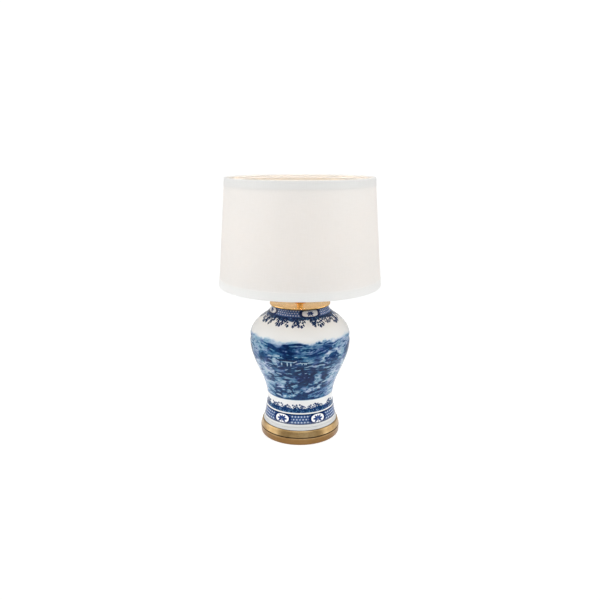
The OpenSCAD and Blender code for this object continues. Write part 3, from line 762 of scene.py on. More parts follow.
def steel(name, colour, rough, grain_mm):
    """Bright zinc on mild steel: a cool, slightly cloudy metal with spangles."""
    material, tree = new_material(name)
    own = add(tree, "ShaderNodeTexCoord", out="Object")
    cell = add(tree, "ShaderNodeTexVoronoi", {"Vector": own, "Scale": 1 / (grain_mm * MM)}, out="Color")
    tone = add(tree, "ShaderNodeRGBToBW", {0: cell})
    surface(tree, {
        "Base Color": add(tree, MIX, {
            0: add(tree, RANGE, tone, 0, 1, 0, 0.3), 6: linear(colour), 7: linear("#6E7174")}, **COLOURS),
        "Metallic": 1.0, "Roughness": add(tree, RANGE, tone, 0, 1, rough, rough + 0.15),
        "Normal": add(tree, "ShaderNodeBump", {"Height": speckle(tree, own, 1.2), "Distance": 0.01 * MM})})
    return material


def moulded(name, colour, shade, rough, grain_mm, depth_mm):
    """A moulded plastic or rubber: one colour with faint flow marks and a fine spark-eroded grain."""
    material, tree = new_material(name)
    own = add(tree, "ShaderNodeTexCoord", out="Object")
    flow = speckle(tree, own, 18)
    grain = speckle(tree, own, grain_mm, 2.0)
    surface(tree, {
        "Base Color": add(tree, MIX, {
            0: add(tree, RANGE, flow, 0.35, 0.65, 0, 1), 6: linear(colour), 7: linear(shade)}, **COLOURS),
        "Roughness": add(tree, RANGE, grain, 0.3, 0.7, rough - 0.06, rough + 0.06), "IOR": 1.5,
        "Normal": add(tree, "ShaderNodeBump", {"Height": grain, "Distance": depth_mm * MM})})
    return material


def cotton_weave(tree, warp_mm):
    """The height of a plain weave, and of the thick places (slubs) in its threads.
    Both come from the piece's own cloth coordinates, in metres."""
    cloth = add(tree, "ShaderNodeUVMap", uv_map="cloth")
    sides = add(tree, "ShaderNodeSeparateXYZ", {0: cloth}, out=None)
    threads = []
    for side in (0, 1):
        turn = add(tree, MATH, {0: sides.outputs[side], 1: math.pi / (warp_mm * MM)}, operation="MULTIPLY")
        wave = add(tree, MATH, {0: turn}, operation="SINE")
        threads.append(add(tree, MATH, {0: wave}, operation="ABSOLUTE"))
    woven = add(tree, MATH, {0: threads[0], 1: threads[1]}, operation="MULTIPLY")
    slub = speckle(tree, cloth, 3.0, 2.0, stretch=(9, 0.35, 1))
    cross = speckle(tree, cloth, 3.0, 2.0, stretch=(0.35, 9, 1))
    slubs = add(tree, MATH, {0: slub, 1: cross}, operation="ADD")
    return woven, slubs


def cotton(name, colour, shade, glow, clear=0.0):
    """Bleached cotton in a plain weave, laminated flat: matt, a little fuzzy, and it lets lamplight through.
    Its threads are 0.5 mm apart; the slubs are drawn 1 mm wide, as coarse as they need to be to show."""
    material, tree = new_material(name)
    woven, slubs = cotton_weave(tree, 0.5)
    tint = add(tree, MIX, {
        0: add(tree, RANGE, slubs, 0.7, 1.3, 0, 1), 6: linear(shade), 7: linear(colour)}, **COLOURS)
    height = add(tree, MATH, slubs, 0.3, woven, operation="MULTIPLY_ADD")
    normal = add(tree, "ShaderNodeBump", {"Height": height, "Distance": 0.04 * MM})
    cloth = add(tree, "ShaderNodeBsdfPrincipled", {
        "Base Color": tint, "Roughness": 0.92, "Specular IOR Level": 0.15,
        "Sheen Weight": 0.12, "Sheen Roughness": 0.5, "Normal": normal})
    through = add(tree, "ShaderNodeBsdfTranslucent", {"Color": linear("#FDF8F4"), "Normal": normal})
    shader = add(tree, "ShaderNodeMixShader", {0: glow, 1: cloth, 2: through})
    if clear:
        open_weave = add(tree, "ShaderNodeBsdfTransparent")
        shader = add(tree, "ShaderNodeMixShader", {0: clear, 1: shader, 2: open_weave})
    add(tree, "ShaderNodeOutputMaterial", {0: shader})
    return material


def laminate():
    """Rolled white PVC laminate, satin, which lets much of the lamplight through."""
    material, tree = new_material("white_pvc_laminate")
    own = add(tree, "ShaderNodeTexCoord", out="Object")
    grain = speckle(tree, own, 1.5, 2.0)
    film = add(tree, "ShaderNodeBsdfPrincipled", {
        "Base Color": add(tree, RAMP, speckle(tree, own, 40), stops=((0.3, "#F1EADD"), (0.7, "#F8F3EA"))),
        "Roughness": 0.5, "Normal": add(tree, "ShaderNodeBump", {"Height": grain, "Distance": 0.01 * MM})})
    through = add(tree, "ShaderNodeBsdfTranslucent", {"Color": linear("#FFFAF4")})
    shader = add(tree, "ShaderNodeMixShader", {0: 0.3, 1: film, 2: through})
    shader = add(tree, "ShaderNodeMixShader", {
        0: 0.50, 1: shader, 2: add(tree, "ShaderNodeBsdfTransparent")})
    add(tree, "ShaderNodeOutputMaterial", {0: shader})
    return material


def wool_felt():
    """Pressed wool felt: matt, mottled, with a nap of short fibres."""
    material, tree = new_material("pressed_wool_felt")
    own = add(tree, "ShaderNodeTexCoord", out="Object")
    fibres = speckle(tree, own, 0.9, 5.0)
    surface(tree, {
        "Base Color": add(tree, RAMP, fibres, stops=((0.3, "#26301F"), (0.7, "#43503A"))),
        "Roughness": 1.0, "Specular IOR Level": 0.1, "Sheen Weight": 0.4, "Sheen Roughness": 0.6,
        "Normal": add(tree, "ShaderNodeBump", {"Height": fibres, "Distance": 0.3 * MM})})
    return material


def opal_glass():
    """Blown glass, coated inside with white silica, lit: a soft gloss over a warm glow.
    The glow fades out at the neck and at the tip, where the light source ends."""
    material, tree = new_material("opal_coated_glass")
    own = add(tree, "ShaderNodeTexCoord", out="Object")
    coat = speckle(tree, own, 12)
    neck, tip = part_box("bulb_glass")[0][2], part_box("bulb_glass")[1][2]
    up = add(tree, "ShaderNodeSeparateXYZ", {0: own}, out="Z")
    lit = add(tree, MATH, add(tree, RANGE, up, neck + 2 * MM, neck + 14 * MM, 0, 1),
               add(tree, RANGE, up, tip - 16 * MM, tip, 1, 0.03), operation="MINIMUM")
    glow = add(tree, MIX, {0: lit, 6: linear("#30281E"), 7: linear("#FFE0C4")}, **COLOURS)
    surface(tree, {
        "Base Color": add(tree, RAMP, coat, stops=((0.3, "#FBF4E6"), (0.7, "#FFFAF0"))),
        "Roughness": add(tree, RANGE, coat, 0.3, 0.7, 0.22, 0.3), "IOR": 1.5,
        "Emission Color": glow, "Emission Strength": 24.0})
    return material


def porcelain():
    """Pressed and fired steatite with a thin glaze: dense cream white, half gloss, with iron specks."""
    material, tree = new_material("fired_steatite")
    own = add(tree, "ShaderNodeTexCoord", out="Object")
    specks = speckle(tree, own, 0.7, 4.0)
    surface(tree, {
        "Base Color": add(
            tree, RAMP, specks, stops=((0.26, "#B9AD97"), (0.34, "#ECE7DA"), (0.8, "#F3EFE4"))),
        "Roughness": 0.28, "IOR": 1.55,
        "Normal": add(tree, "ShaderNodeBump", {"Height": speckle(tree, own, 4), "Distance": 0.04 * MM})})
    return material


def powder_coat():
    """White polyester powder baked on steel wire: gloss with an orange-peel surface."""
    material, tree = new_material("white_powder_coat")
    own = add(tree, "ShaderNodeTexCoord", out="Object")
    peel = speckle(tree, own, 1.4, 1.0)
    surface(tree, {
        "Base Color": add(tree, RAMP, speckle(tree, own, 22), stops=((0.3, "#E8E7E2"), (0.7, "#F2F1ED"))),
        "Roughness": 0.3, "IOR": 1.5, "Coat Weight": 0.2, "Coat Roughness": 0.1,
        "Normal": add(tree, "ShaderNodeBump", {"Height": peel, "Distance": 0.03 * MM})})
    return material


def clear_glass():
    """Drawn lead-free glass tube: clear, with a slight waviness."""
    material, tree = new_material("drawn_clear_glass")
    surface(tree, {
        "Base Color": linear("#F4F8F8"), "Roughness": 0.02, "IOR": 1.5, "Transmission Weight": 1.0,
        "Normal": add(tree, "ShaderNodeBump", {
            "Height": speckle(tree, add(tree, "ShaderNodeTexCoord", out="Object"), 3),
            "Distance": 0.02 * MM})})
    return material


def phosphor():
    """A row of blue chips under cast silicone with phosphor: an opaque yellow gum, lit."""
    material, tree = new_material("phosphor_silicone")
    beads = add(tree, "ShaderNodeTexVoronoi", {
        "Vector": add(tree, "ShaderNodeTexCoord", out="Object"), "Scale": 700.0})
    surface(tree, {
        "Base Color": add(tree, RAMP, beads, stops=((0.0, "#FFD76A"), (1.0, "#D9922A"))),
        "Roughness": 0.45, "Emission Color": linear("#FFC070"), "Emission Strength": 3.0})
    return material


SHADE_GLOW = 0.235
MATERIALS = {
    "glazed_jar": glazed_print(),
    "antique_brass": brushed_brass(),
    "polished_brass": polished_brass(),
    "contact_brass": steel("stamped_contact_brass", "#C9A04C", 0.24, 3.0),
    "zinc_steel": steel("bright_zinc_plate", "#B9BBBC", 0.26, 2.2),
    "bulb_metal": steel("rolled_nickelled_aluminium", "#C6C7C8", 0.20, 4.0),
    "bronze_plastic": moulded("moulded_brown_nylon", "#3B2413", "#442B18", 0.45, 0.8, 0.02),
    "gasket_rubber": moulded("moulded_black_rubber", "#1D1A17", "#242120", 0.75, 0.9, 0.03),
    "holder_plastic": moulded("moulded_urea_thermoset", "#E3DDCC", "#EAE5D7", 0.36, 0.8, 0.01),
    "switch_bakelite": moulded("moulded_phenolic", "#21140C", "#2C1A10", 0.22, 1.4, 0.01),
    "bulb_black_glass": moulded("vitrified_black_glass", "#0B0B0C", "#131315", 0.12, 2.0, 0.01),
    "porcelain": porcelain(),
    "white_enamel": powder_coat(),
    "shade_cotton": cotton("bleached_cotton_plain_weave", "#FCFCFB", "#F5F5F3", SHADE_GLOW),
    "shade_liner": laminate(),
    "felt": wool_felt(),
    "opal_glass": opal_glass(),
    "stem_glass": clear_glass(),
    "phosphor": phosphor(),
}
COTTON_BACK = cotton("bleached_cotton_back", "#FCFCFB", "#F5F5F3", SHADE_GLOW, clear=0.75)
TOP_TAPE_CLOTH = cotton("cotton_binding_tape", "#F9F9F7", "#F2F2F0", 0.14)
# painted light: the bottom tape gets a whiter, less translucent copy of the same tape cloth, so that it
# reads lighter, for the light that falls on the bottom hem
BOTTOM_TAPE_CLOTH = cotton("cotton_binding_tape_painted_lighter", "#FCFCFA", "#F6F6F4", 0.05)


# ---------------------------------------------------------------- the lamp's pieces

def carried_over():
    """Every CAD node that stays gets its slot's material."""
    slots = {part["node"]: part["material_slot"] for part in frame["record"]["subparts"]}
    for name, node in frame["nodes"].items():
        node.data.materials.clear()
        node.data.materials.append(MATERIALS[slots[name]])


def brass_base():
    """Two spun tiers with eased edges, and the hole for the cord's bush."""
    foot_low, foot_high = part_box("base_foot")
    outer, low, high = foot_high[0], foot_low[2], foot_high[2]
    hole, rim, plate = 5.3 * MM, 6 * MM, 3 * MM
    outline = [
        (hole, high - plate), (outer - rim, high - plate), (outer - rim, low),
        (outer - 1.0 * MM, low), (outer, high - 4 * MM), (outer, high), (hole, high)]
    foot = turned("spun_foot", filleted(outline, 2.4 * MM, 6), 256, "lamp", ("base_foot",),
                  MATERIALS["antique_brass"])
    bush_low, bush_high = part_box("cord_bush")
    drill = bpy.data.objects.new("drill", bpy.data.meshes.new("drill"))
    shape = bmesh.new()
    bmesh.ops.create_cone(
        shape, cap_ends=True, segments=48, radius1=4.6 * MM, radius2=4.6 * MM, depth=40 * MM)
    bmesh.ops.rotate(shape, verts=shape.verts, matrix=Matrix.Rotation(BACK, 3, "X"))
    bmesh.ops.translate(shape, verts=shape.verts, vec=(0, outer, (bush_low[2] + bush_high[2]) / 2))
    shape.to_mesh(drill.data)
    shape.free()
    bpy.context.scene.collection.objects.link(drill)
    bored(foot, drill)

    low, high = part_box("base_step")[0][2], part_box("base_step")[1][2]
    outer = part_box("base_step")[1][0]
    flank = [(r, z) for r, z in outer_profile("base_step") if z > low + 1.5 * MM]
    groove = 2.6 * MM
    outline = [
        (hole, high - plate), (outer - rim - 6 * MM, high - plate), (outer - rim, high - 9 * MM),
        (outer - rim, low), (outer - groove, low), (outer - groove, low + 1.3 * MM),
        (outer - 0.6 * MM, low + 1.3 * MM)]
    outline += [tuple(p) for p in catmull(flank[::3] + [flank[-1]], 12)] + [(hole, high)]
    turned("spun_step", filleted(outline, 0.8 * MM), 256, "lamp", ("base_step",),
           MATERIALS["antique_brass"])


def bored(piece, drill):
    """Cuts drill out of piece and removes it."""
    cut = piece.modifiers.new("bore", "BOOLEAN")
    cut.object = drill
    cut.operation = "DIFFERENCE"
    cut.solver = "EXACT"
    made = bpy.data.meshes.new_from_object(piece.evaluated_get(bpy.context.evaluated_depsgraph_get()))
    piece.modifiers.remove(cut)
    piece.data = made
    made.name = piece.name
    bpy.data.objects.remove(drill)
    made.polygons.foreach_set("use_smooth", [True] * len(made.polygons))
    made.set_sharp_from_angle(angle=math.radians(35))


def brass_cap():
    """The spun cap of the jar, with a rolled edge and a locating lip inside the neck."""
    (_, _, low), (outer, _, high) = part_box("neck_cap")
    thick, edge = 3.4 * MM, 1.4 * MM
    face = high - thick
    plug = outer - 8.2 * MM
    outline = [
        (5.3 * MM, face), (plug - 2 * MM, face), (plug - 2 * MM, low), (plug, low), (plug, face),
        (outer, face), (outer, high), (5.3 * MM, high)]
    turned("spun_cap", filleted(outline, edge, 6), 256, "lamp", ("neck_cap",),
           MATERIALS["polished_brass"])


def cloth_coordinates(piece, girth, heights):
    """A UV map in metres of cloth: along the girth, and along the outline."""
    mesh = piece.data
    corner = np.empty(len(mesh.loops), int)
    mesh.loops.foreach_get("vertex_index", corner)
    places = np.empty(len(mesh.vertices) * 3)
    mesh.vertices.foreach_get("co", places)
    places = places.reshape(-1, 3)
    turns = (np.arctan2(places[:, 1], places[:, 0]) / FULL_TURN + 0.75) % 1.0
    u = turns[corner]
    starts = np.empty(len(mesh.polygons), int)
    totals = np.empty(len(mesh.polygons), int)
    mesh.polygons.foreach_get("loop_start", starts)
    mesh.polygons.foreach_get("loop_total", totals)
    face = np.repeat(np.arange(len(starts)), totals)
    highest = np.maximum.reduceat(u, starts)[face]
    u = np.where(highest - u > 0.5, u + 1.0, u)
    v = heights(places)[corner]
    uv = mesh.uv_layers.new(name="cloth")
    uv.data.foreach_set("uv", np.column_stack([u * girth, v]).reshape(-1).astype(np.float32))


def geometry_tree(name, inputs):
    """An empty geometry tree and its input sockets, each given as (name, kind, value)."""
    tree = bpy.data.node_groups.new(name, "GeometryNodeTree")
    for label, kind, value in inputs:
        socket = tree.interface.new_socket(label, in_out="INPUT", socket_type="NodeSocket" + kind)
        if value is not None:
            socket.default_value = value
    tree.interface.new_socket("Geometry", in_out="OUTPUT", socket_type="NodeSocketGeometry")
    return tree, add(tree, "NodeGroupInput", out=None).outputs


def cone_tree():
    """Geometry nodes for a tapered cloth tube, open at both ends, with its cloth coordinates."""
    tree, given = geometry_tree("tapered_tube", (
        ("Bottom radius", "Float", 0.2), ("Top radius", "Float", 0.18), ("Bottom height", "Float", 0.0),
        ("Top height", "Float", 0.2), ("Columns", "Int", 360), ("Rows", "Int", 60),
        ("Unevenness", "Float", 0.0), ("Seed", "Int", 4), ("Material", "Material", None)))
    columns = add(tree, MATH, {0: given["Columns"], 1: 1}, operation="ADD")
    grid = add(tree, "GeometryNodeMeshGrid", {
        "Size X": 1.0, "Size Y": 1.0, "Vertices X": columns, "Vertices Y": given["Rows"]}, out=None)
    spot = add(tree, "ShaderNodeSeparateXYZ", {0: add(tree, "GeometryNodeInputPosition")}, out=None).outputs
    angle = add(tree, MATH, {0: spot[0], 1: FULL_TURN, 2: -BACK}, operation="MULTIPLY_ADD")
    up = add(tree, MATH, {0: spot[1], 1: 0.5}, operation="ADD")
    radius = add(tree, MIX, {0: up, 2: given["Bottom radius"], 3: given["Top radius"]})
    height = add(tree, MIX, {0: up, 2: given["Bottom height"], 3: given["Top height"]})
    ring = add(tree, "ShaderNodeCombineXYZ", {
        0: add(tree, MATH, {0: angle}, operation="COSINE"),
        1: add(tree, MATH, {0: angle}, operation="SINE")})
    seeded = add(tree, MATH, {0: given["Seed"], 1: 7.3}, operation="MULTIPLY")
    spread = add(tree, "ShaderNodeCombineXYZ", {0: 0.0, 1: 0.0, 2: height})
    spot_on_ring = add(tree, "ShaderNodeVectorMath", {0: ring, 1: spread}, operation="ADD")
    rough = add(tree, "ShaderNodeTexNoise", {
        "Vector": spot_on_ring, "W": seeded, "Scale": 3.0, "Detail": 1.0}, noise_dimensions="4D")
    ease = add(tree, MATH, {0: up, 1: 0.5}, operation="PINGPONG")
    uneven = add(tree, MATH, {0: rough, 1: 0.5}, operation="SUBTRACT")
    uneven = add(tree, MATH, {0: uneven, 1: given["Unevenness"]}, operation="MULTIPLY")
    uneven = add(tree, MATH, {0: uneven, 1: ease}, operation="MULTIPLY")
    radius = add(tree, MATH, {0: radius, 1: uneven}, operation="ADD")
    flat = add(tree, "ShaderNodeVectorMath", {0: ring, 3: radius}, operation="SCALE")
    lift = add(tree, "ShaderNodeCombineXYZ", {2: height})
    place_on_cone = add(tree, "ShaderNodeVectorMath", {0: flat, 1: lift}, operation="ADD")
    girth = add(tree, MATH, {0: given["Bottom radius"], 1: FULL_TURN}, operation="MULTIPLY")
    across = add(tree, MATH, {0: spot[0], 1: 0.5}, operation="ADD")
    across = add(tree, MATH, {0: across, 1: girth}, operation="MULTIPLY")
    cloth = add(tree, "ShaderNodeCombineXYZ", {0: across, 1: height})
    stored = add(tree, "GeometryNodeStoreNamedAttribute", {
        "Geometry": grid.outputs[0], "Name": "cloth", "Value": cloth}, data_type="FLOAT2", domain="CORNER")
    bent = add(tree, "GeometryNodeSetPosition", {"Geometry": stored, "Position": place_on_cone})
    joined = add(tree, "GeometryNodeMergeByDistance", {"Geometry": bent, "Distance": 0.00002})
    whole = add(tree, "GeometryNodeRealizeInstances", {0: joined})
    done = add(tree, "GeometryNodeSetMaterial", {"Geometry": whole, "Material": given["Material"]})
    add(tree, "NodeGroupOutput", {0: done})
    return tree


def grown(name, tree, values, points=()):
    """An object whose mesh a geometry tree makes from inputs given by name, and from loose points."""
    mesh = bpy.data.meshes.new(name)
    mesh.from_pydata(points, [], [])
    piece = bpy.data.objects.new(name, mesh)
    bpy.context.scene.collection.objects.link(piece)
    modifier = piece.modifiers.new("grown", "NODES")
    modifier.node_group = tree
    for item in tree.interface.items_tree:
        if item.in_out == "INPUT" and item.name in values:
            modifier[item.identifier] = values[item.name]
    return piece


def settled(piece):
    """Turns the piece's modifiers into a plain mesh."""
    made = bpy.data.meshes.new_from_object(piece.evaluated_get(bpy.context.evaluated_depsgraph_get()))
    piece.modifiers.clear()
    piece.data = made
    made.name = piece.name
    return piece


def shade_taper():
    """The shade's outer radius at a height, from its CAD edges."""
    bottom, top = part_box("bottom_tape"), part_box("top_tape")
    low, high = bottom[0][2], top[1][2]
    wide = bottom[1][1]
    profile = outer_profile("top_tape")
    narrow = profile[-1][0]
    return lambda z: wide + (narrow - wide) * (z - low) / (high - low), low, high


def cloth_tube(name, low, high, depth, thick, materials, replaced, tree, uneven):
    """One tapered layer of the shade, as a closed thin shell: outer face, inner face and raw edges."""
    radius, _, _ = shade_taper()
    piece = grown(name, tree, {
        "Bottom radius": radius(low) - depth, "Top radius": radius(high) - depth,
        "Bottom height": low, "Top height": high, "Columns": 400, "Rows": 46,
        "Unevenness": uneven, "Material": materials[0]})
    shell = piece.modifiers.new("thickness", "SOLIDIFY")
    shell.thickness = thick
    shell.offset = -1
    shell.use_even_offset = True
    settled(piece)
    dress(piece, "shade", replaced, materials[0])
    for extra in materials[1:]:
        piece.data.materials.append(extra)
    if len(materials) > 1:
        turned_in = [p.normal.x * p.center.x + p.normal.y * p.center.y < 0 for p in piece.data.polygons]
        piece.data.polygons.foreach_set("material_index", [int(t) for t in turned_in])
    return piece


def tape(name, node, edge_up, wire_node, radius_at):
    """A cotton tape folded over the edge and round the wire, with a lap at the back."""
    low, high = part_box(node)[0][2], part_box(node)[1][2]
    wire_low, wire_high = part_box(wire_node)[0][2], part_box(wire_node)[1][2]
    wire = (wire_high - wire_low) / 2
    wire_z = (wire_high + wire_low) / 2
    layer = 2.0 * MM
    thick = 0.55 * MM
    sign = 1 if edge_up else -1
    edge = high if edge_up else low
    inner_edge = low if edge_up else high
    wire_r = radius_at(wire_z) - layer - wire - 0.2 * MM
    outside = [(radius_at(z), z) for z in (inner_edge, (inner_edge + edge) / 2, edge - sign * 1.6 * MM)]
    over = [
        (radius_at(edge) - 0.35 * MM, edge - sign * 0.45 * MM), (radius_at(edge) - 1.3 * MM, edge),
        (wire_r + 0.2 * MM, edge - sign * 0.15 * MM)]
    reach = wire + thick + 0.05 * MM
    round_wire = [
        (wire_r - reach * math.sin(a), wire_z + sign * reach * math.cos(a))
        for a in (math.radians(d) for d in (35, 65, 95, 125, 150))]
    inside = [
        (radius_at(z) - layer - thick, z)
        for z in (wire_z - sign * (wire + 2.2 * MM), wire_z - sign * (wire + 5.5 * MM))]
    path = catmull(outside + over + round_wire + inside, 44)
    along = np.gradient(path, axis=0)
    along /= np.hypot(*along.T)[:, None]
    side = np.column_stack([along[:, 1], -along[:, 0]]) * -sign
    under = path + side * thick
    outline = np.vstack([path, under[::-1]])
    if edge_up:
        outline = outline[::-1]
    outline = outline[::-1]

    def lap(angles, height):
        away = np.abs((angles - BACK + math.pi) % FULL_TURN - math.pi)
        return 0.35 * MM * np.clip((math.radians(2.6) - away) / math.radians(0.3), 0, 1)

    # the bottom tape's cloth is the copy painted lighter, for the light on the bottom hem
    cloth = TOP_TAPE_CLOTH if edge_up else BOTTOM_TAPE_CLOTH
    piece = turned(name, outline, 360, "shade", (node,), cloth, lap, 50)
    girth = FULL_TURN * radius_at(edge)
    cloth_coordinates(piece, girth, lambda p: p[:, 2] + np.hypot(p[:, 0], p[:, 1]))
    length = float(np.hypot(*np.diff(path, axis=0).T).sum())
    return piece, (girth + 0.02, length)


def drum_shade():
    """Cover, lining, two tapes and the back seam."""
    radius, low, high = shade_taper()
    tree = cone_tree()
    tape_t, cloth_t, liner_t, inset = 0.7 * MM, 0.7 * MM, 0.6 * MM, 0.8 * MM
    cover = cloth_tube("cotton_cover", low + inset, high - inset, tape_t, cloth_t,
                       (MATERIALS["shade_cotton"], COTTON_BACK), ("shade_fabric",), tree, 0.8 * MM)
    lining = cloth_tube(
        "laminate_lining", low + inset, high - inset, tape_t + cloth_t, liner_t,
        (MATERIALS["shade_liner"],), ("shade_liner",), tree, 0.8 * MM)
    top_tape, top_flat = tape("top_edge_tape", "top_tape", True, "top_wire", radius)
    bottom_tape, bottom_flat = tape("bottom_edge_tape", "bottom_tape", False, "bottom_wire", radius)

    seam_low, seam_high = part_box("shade_seam")
    seam_deg = 3.6
    columns, rows = 10, 60
    vertices, faces = [], []
    for layer in (0.05 * MM, tape_t + 0.02 * MM):
        for i in range(rows + 1):
            z = seam_low[2] + (seam_high[2] - seam_low[2]) * i / rows
            for j in range(columns + 1):
                across = 2 * j / columns - 1
                thin = layer + (0.5 * MM * across ** 6 if layer < 0.1 * MM else 0)
                angle = BACK + math.radians(seam_deg / 2) * across
                vertices.append(
                    ((radius(z) - thin) * math.cos(angle), (radius(z) - thin) * math.sin(angle), z))
    across, sheet_size = columns + 1, (rows + 1) * (columns + 1)
    for i in range(rows):
        for j in range(columns):
            a = i * across + j
            faces.append((a, a + 1, a + 1 + across, a + across))
            faces.append(
                (a + sheet_size + across, a + 1 + across + sheet_size, a + 1 + sheet_size, a + sheet_size))
    rim = [i * across for i in range(rows)] + [rows * across + j for j in range(columns)]
    rim += [i * across + columns for i in range(rows, 0, -1)] + [j for j in range(columns, 0, -1)]
    for a, b in zip(rim, rim[1:] + rim[:1]):
        faces.append((a, b, b + sheet_size, a + sheet_size))
    seam = new_piece(
        "lapped_seam", vertices, faces, "shade", ("shade_seam",), MATERIALS["shade_cotton"])
    cloth_coordinates(seam, FULL_TURN * radius(low), lambda p: p[:, 2])

    slant = math.hypot(high - low - 2 * inset, radius(low) - radius(high))
    girth = math.pi * (radius(low) + radius(high))
    FULL_TURN * radius(low)


def felt_disc():
    """The felt under the base, die cut, with a slightly ragged edge."""
    (_, _, low), (outer, _, high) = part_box("felt_pad")
    rng = np.random.default_rng(5)
    segments = 360
    rag = rng.normal(0, 0.12 * MM, segments)

    def ragged(angles, height):
        return rag if height > low else rag * 0.6

    outline = [(0, low), (outer * 0.5, low), (outer - 0.3 * MM, low), (outer, (low + high) / 2),
               (outer - 0.3 * MM, high), (outer * 0.5, high), (0, high)]
    piece = turned("felt_disc", outline, segments, "lamp", ("felt_pad",), MATERIALS["felt"], ragged)


def candle_glass():
    """The bulb's glass, blown to a candle shape with a rounded tip."""
    profile = outer_profile("bulb_glass")
    curve = catmull(profile[::3] + [profile[-2], (0.0, profile[-1][1])], 60)
    curve[-1, 0] = 0
    thick = 0.9 * MM
    inner = [(max(r - thick, 0), z) for r, z in curve[::-3] if z < profile[-1][1] - 2 * thick]
    inner[0] = (0, inner[0][1])
    outline = [tuple(p) for p in curve] + inner
    turned("candle_glass", outline, 96, "bulb", ("bulb_glass",), MATERIALS["opal_glass"],
           crease_deg=60)


def bead_tree():
    """Geometry nodes for weld beads: a lumpy bead at each point of a mesh."""
    tree, given = geometry_tree("weld_beads", (
        ("Geometry", "Geometry", None), ("Bead radius", "Float", 0.002), ("Seed", "Int", 3),
        ("Material", "Material", None)))
    ball = add(tree, "GeometryNodeMeshIcoSphere", {"Radius": given["Bead radius"], "Subdivisions": 3})
    size = add(tree, "FunctionNodeRandomValue", {
        2: 0.85, 3: 1.15, "Seed": given["Seed"]}, out=1, data_type="FLOAT")
    beads = add(tree, "GeometryNodeInstanceOnPoints", {
        "Points": given["Geometry"], "Instance": ball, "Scale": size})
    whole = add(tree, "GeometryNodeRealizeInstances", {0: beads})
    noise = add(tree, "ShaderNodeTexNoise", {"Scale": 900.0}, out="Color")
    push = add(tree, "ShaderNodeVectorMath", {0: noise, 1: (0.5, 0.5, 0.5)}, operation="SUBTRACT")
    push = add(tree, "ShaderNodeVectorMath", {0: push, 3: 0.0012}, operation="SCALE")
    lumpy = add(tree, "GeometryNodeSetPosition", {"Geometry": whole, "Offset": push})
    smooth = add(tree, "GeometryNodeSetShadeSmooth", {"Geometry": lumpy})
    done = add(tree, "GeometryNodeSetMaterial", {"Geometry": smooth, "Material": given["Material"]})
    add(tree, "NodeGroupOutput", {0: done})
    return tree


def weld_beads():
    """A bead where each arm of the frame meets its ring and its bottom wire."""
    ring_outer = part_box("frame_ring")[1][1]
    ring_z = (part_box("frame_ring")[0][2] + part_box("frame_ring")[1][2]) / 2
    wire_low, wire_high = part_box("bottom_wire")
    wire_r, wire_z = wire_high[1] - 4.6 * MM, (wire_low[2] + wire_high[2]) / 2
    points = []
    for arm in range(3):
        angle = BACK + arm * FULL_TURN / 3
        for reach, z in ((ring_outer + 0.3 * MM, ring_z + 0.5 * MM), (wire_r, wire_z)):
            points.append((reach * math.cos(angle), reach * math.sin(angle), z))
    piece = settled(grown("weld_beads", bead_tree(), {
        "Bead radius": 2.3 * MM, "Seed": 3, "Material": MATERIALS["white_enamel"]}, points))
    piece.data.materials.pop(index=0)
    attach(piece, "shade")


# ---------------------------------------------------------------- studio

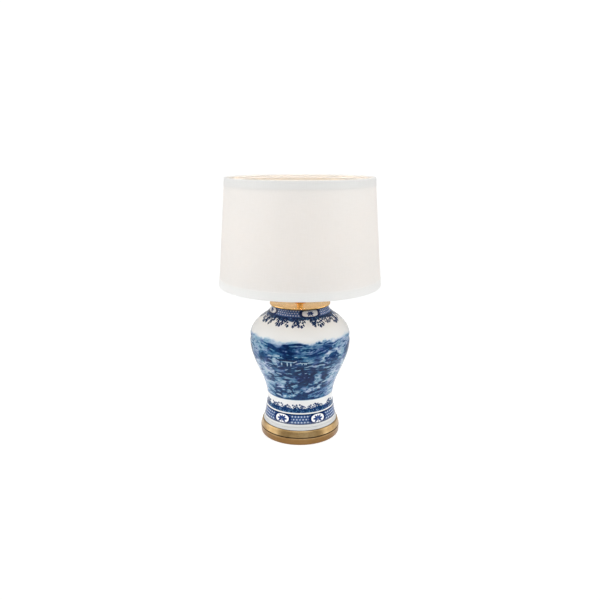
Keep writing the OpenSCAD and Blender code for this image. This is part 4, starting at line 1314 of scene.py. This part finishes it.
def studio():
    """Pale floor, white room for the camera, soft boxes left, right and above."""
    scene = bpy.context.scene
    scene.view_settings.view_transform = "Standard"
    scene.view_settings.look = "None"

    reach, sides = 0.42, 128
    rim = [(reach * math.cos(a), reach * math.sin(a), 0) for a in np.arange(sides) * FULL_TURN / sides]
    floor_mesh = bpy.data.meshes.new("floor")
    floor_mesh.from_pydata(rim, [], [tuple(range(sides))])
    floor = bpy.data.objects.new("floor", floor_mesh)
    scene.collection.objects.link(floor)
    paper, tree = new_material("white_paper_floor")
    surface(tree, {
        "Base Color": linear("#F4F4F4"), "Roughness": 0.9, "Specular IOR Level": 0.0,
        "Emission Color": linear("#FFFFFF"), "Emission Strength": 0.35})
    floor_mesh.materials.append(paper)

    world = bpy.data.worlds.new("room")
    scene.world = world
    world.use_nodes = True
    tree = world.node_tree
    tree.nodes.clear()
    rays = add(tree, "ShaderNodeLightPath", out="Is Camera Ray")
    way = add(tree, "ShaderNodeSeparateXYZ", {
        0: add(tree, "ShaderNodeTexCoord", out="Generated")}, out=None)
    behind = add(tree, RANGE, way.outputs[1], -0.1, 0.5, 0.12, 0.62)
    above = add(tree, RANGE, way.outputs[2], 0.2, 0.8, 0.12, 0.9)
    backdrop = add(tree, MATH, behind, above, operation="MAXIMUM")
    seen = add(tree, "ShaderNodeBackground", {"Color": linear("#FFFFFF"), "Strength": 1.05})
    lit = add(tree, "ShaderNodeBackground", {"Color": linear("#FFFFFF"), "Strength": backdrop})
    sky = add(tree, "ShaderNodeMixShader", {0: rays, 1: lit, 2: seen})
    add(tree, "ShaderNodeOutputWorld", {0: sky})

    for name, place_m, size, power in (
            ("left_box", (-2.0, -0.15, 0.8), (1.5, 1.8), 19),
            ("right_box", (2.0, -0.15, 0.8), (1.5, 1.8), 17),
            ("front_box", (0.0, -1.7, 1.55), (2.6, 1.1), 27)):
        light = bpy.data.lights.new(name, "AREA")
        light.shape = "RECTANGLE"
        light.size, light.size_y = size
        light.energy = power
        lamp = bpy.data.objects.new(name, light)
        scene.collection.objects.link(lamp)
        lamp.location = place_m
        aim = np.array((0, 0, 0.35)) - np.array(place_m)
        lamp.rotation_euler = direction_of(aim)


def direction_of(aim):
    """The Euler turn that points an object's -Z along aim."""
    return Vector(aim).to_track_quat("-Z", "Y").to_euler()


def camera():
    """The eye, 1.5 m in front of the lamp and looking a little down."""
    distance, eye_height, down_deg = 1.5114, 0.7156, 13.707
    data = bpy.data.cameras.new("camera")
    data.lens = 37.29
    data.sensor_width = 36
    eye = bpy.data.objects.new("camera", data)
    bpy.context.scene.collection.objects.link(eye)
    eye.location = (0.0, -distance, eye_height)
    eye.rotation_euler = (math.radians(90 - down_deg), 0, 0)
    bpy.context.scene.camera = eye


camera()
studio()
carried_over()
jar_mesh(MATERIALS["glazed_jar"])
brass_base()
brass_cap()
drum_shade()
felt_disc()
candle_glass()
weld_beads()
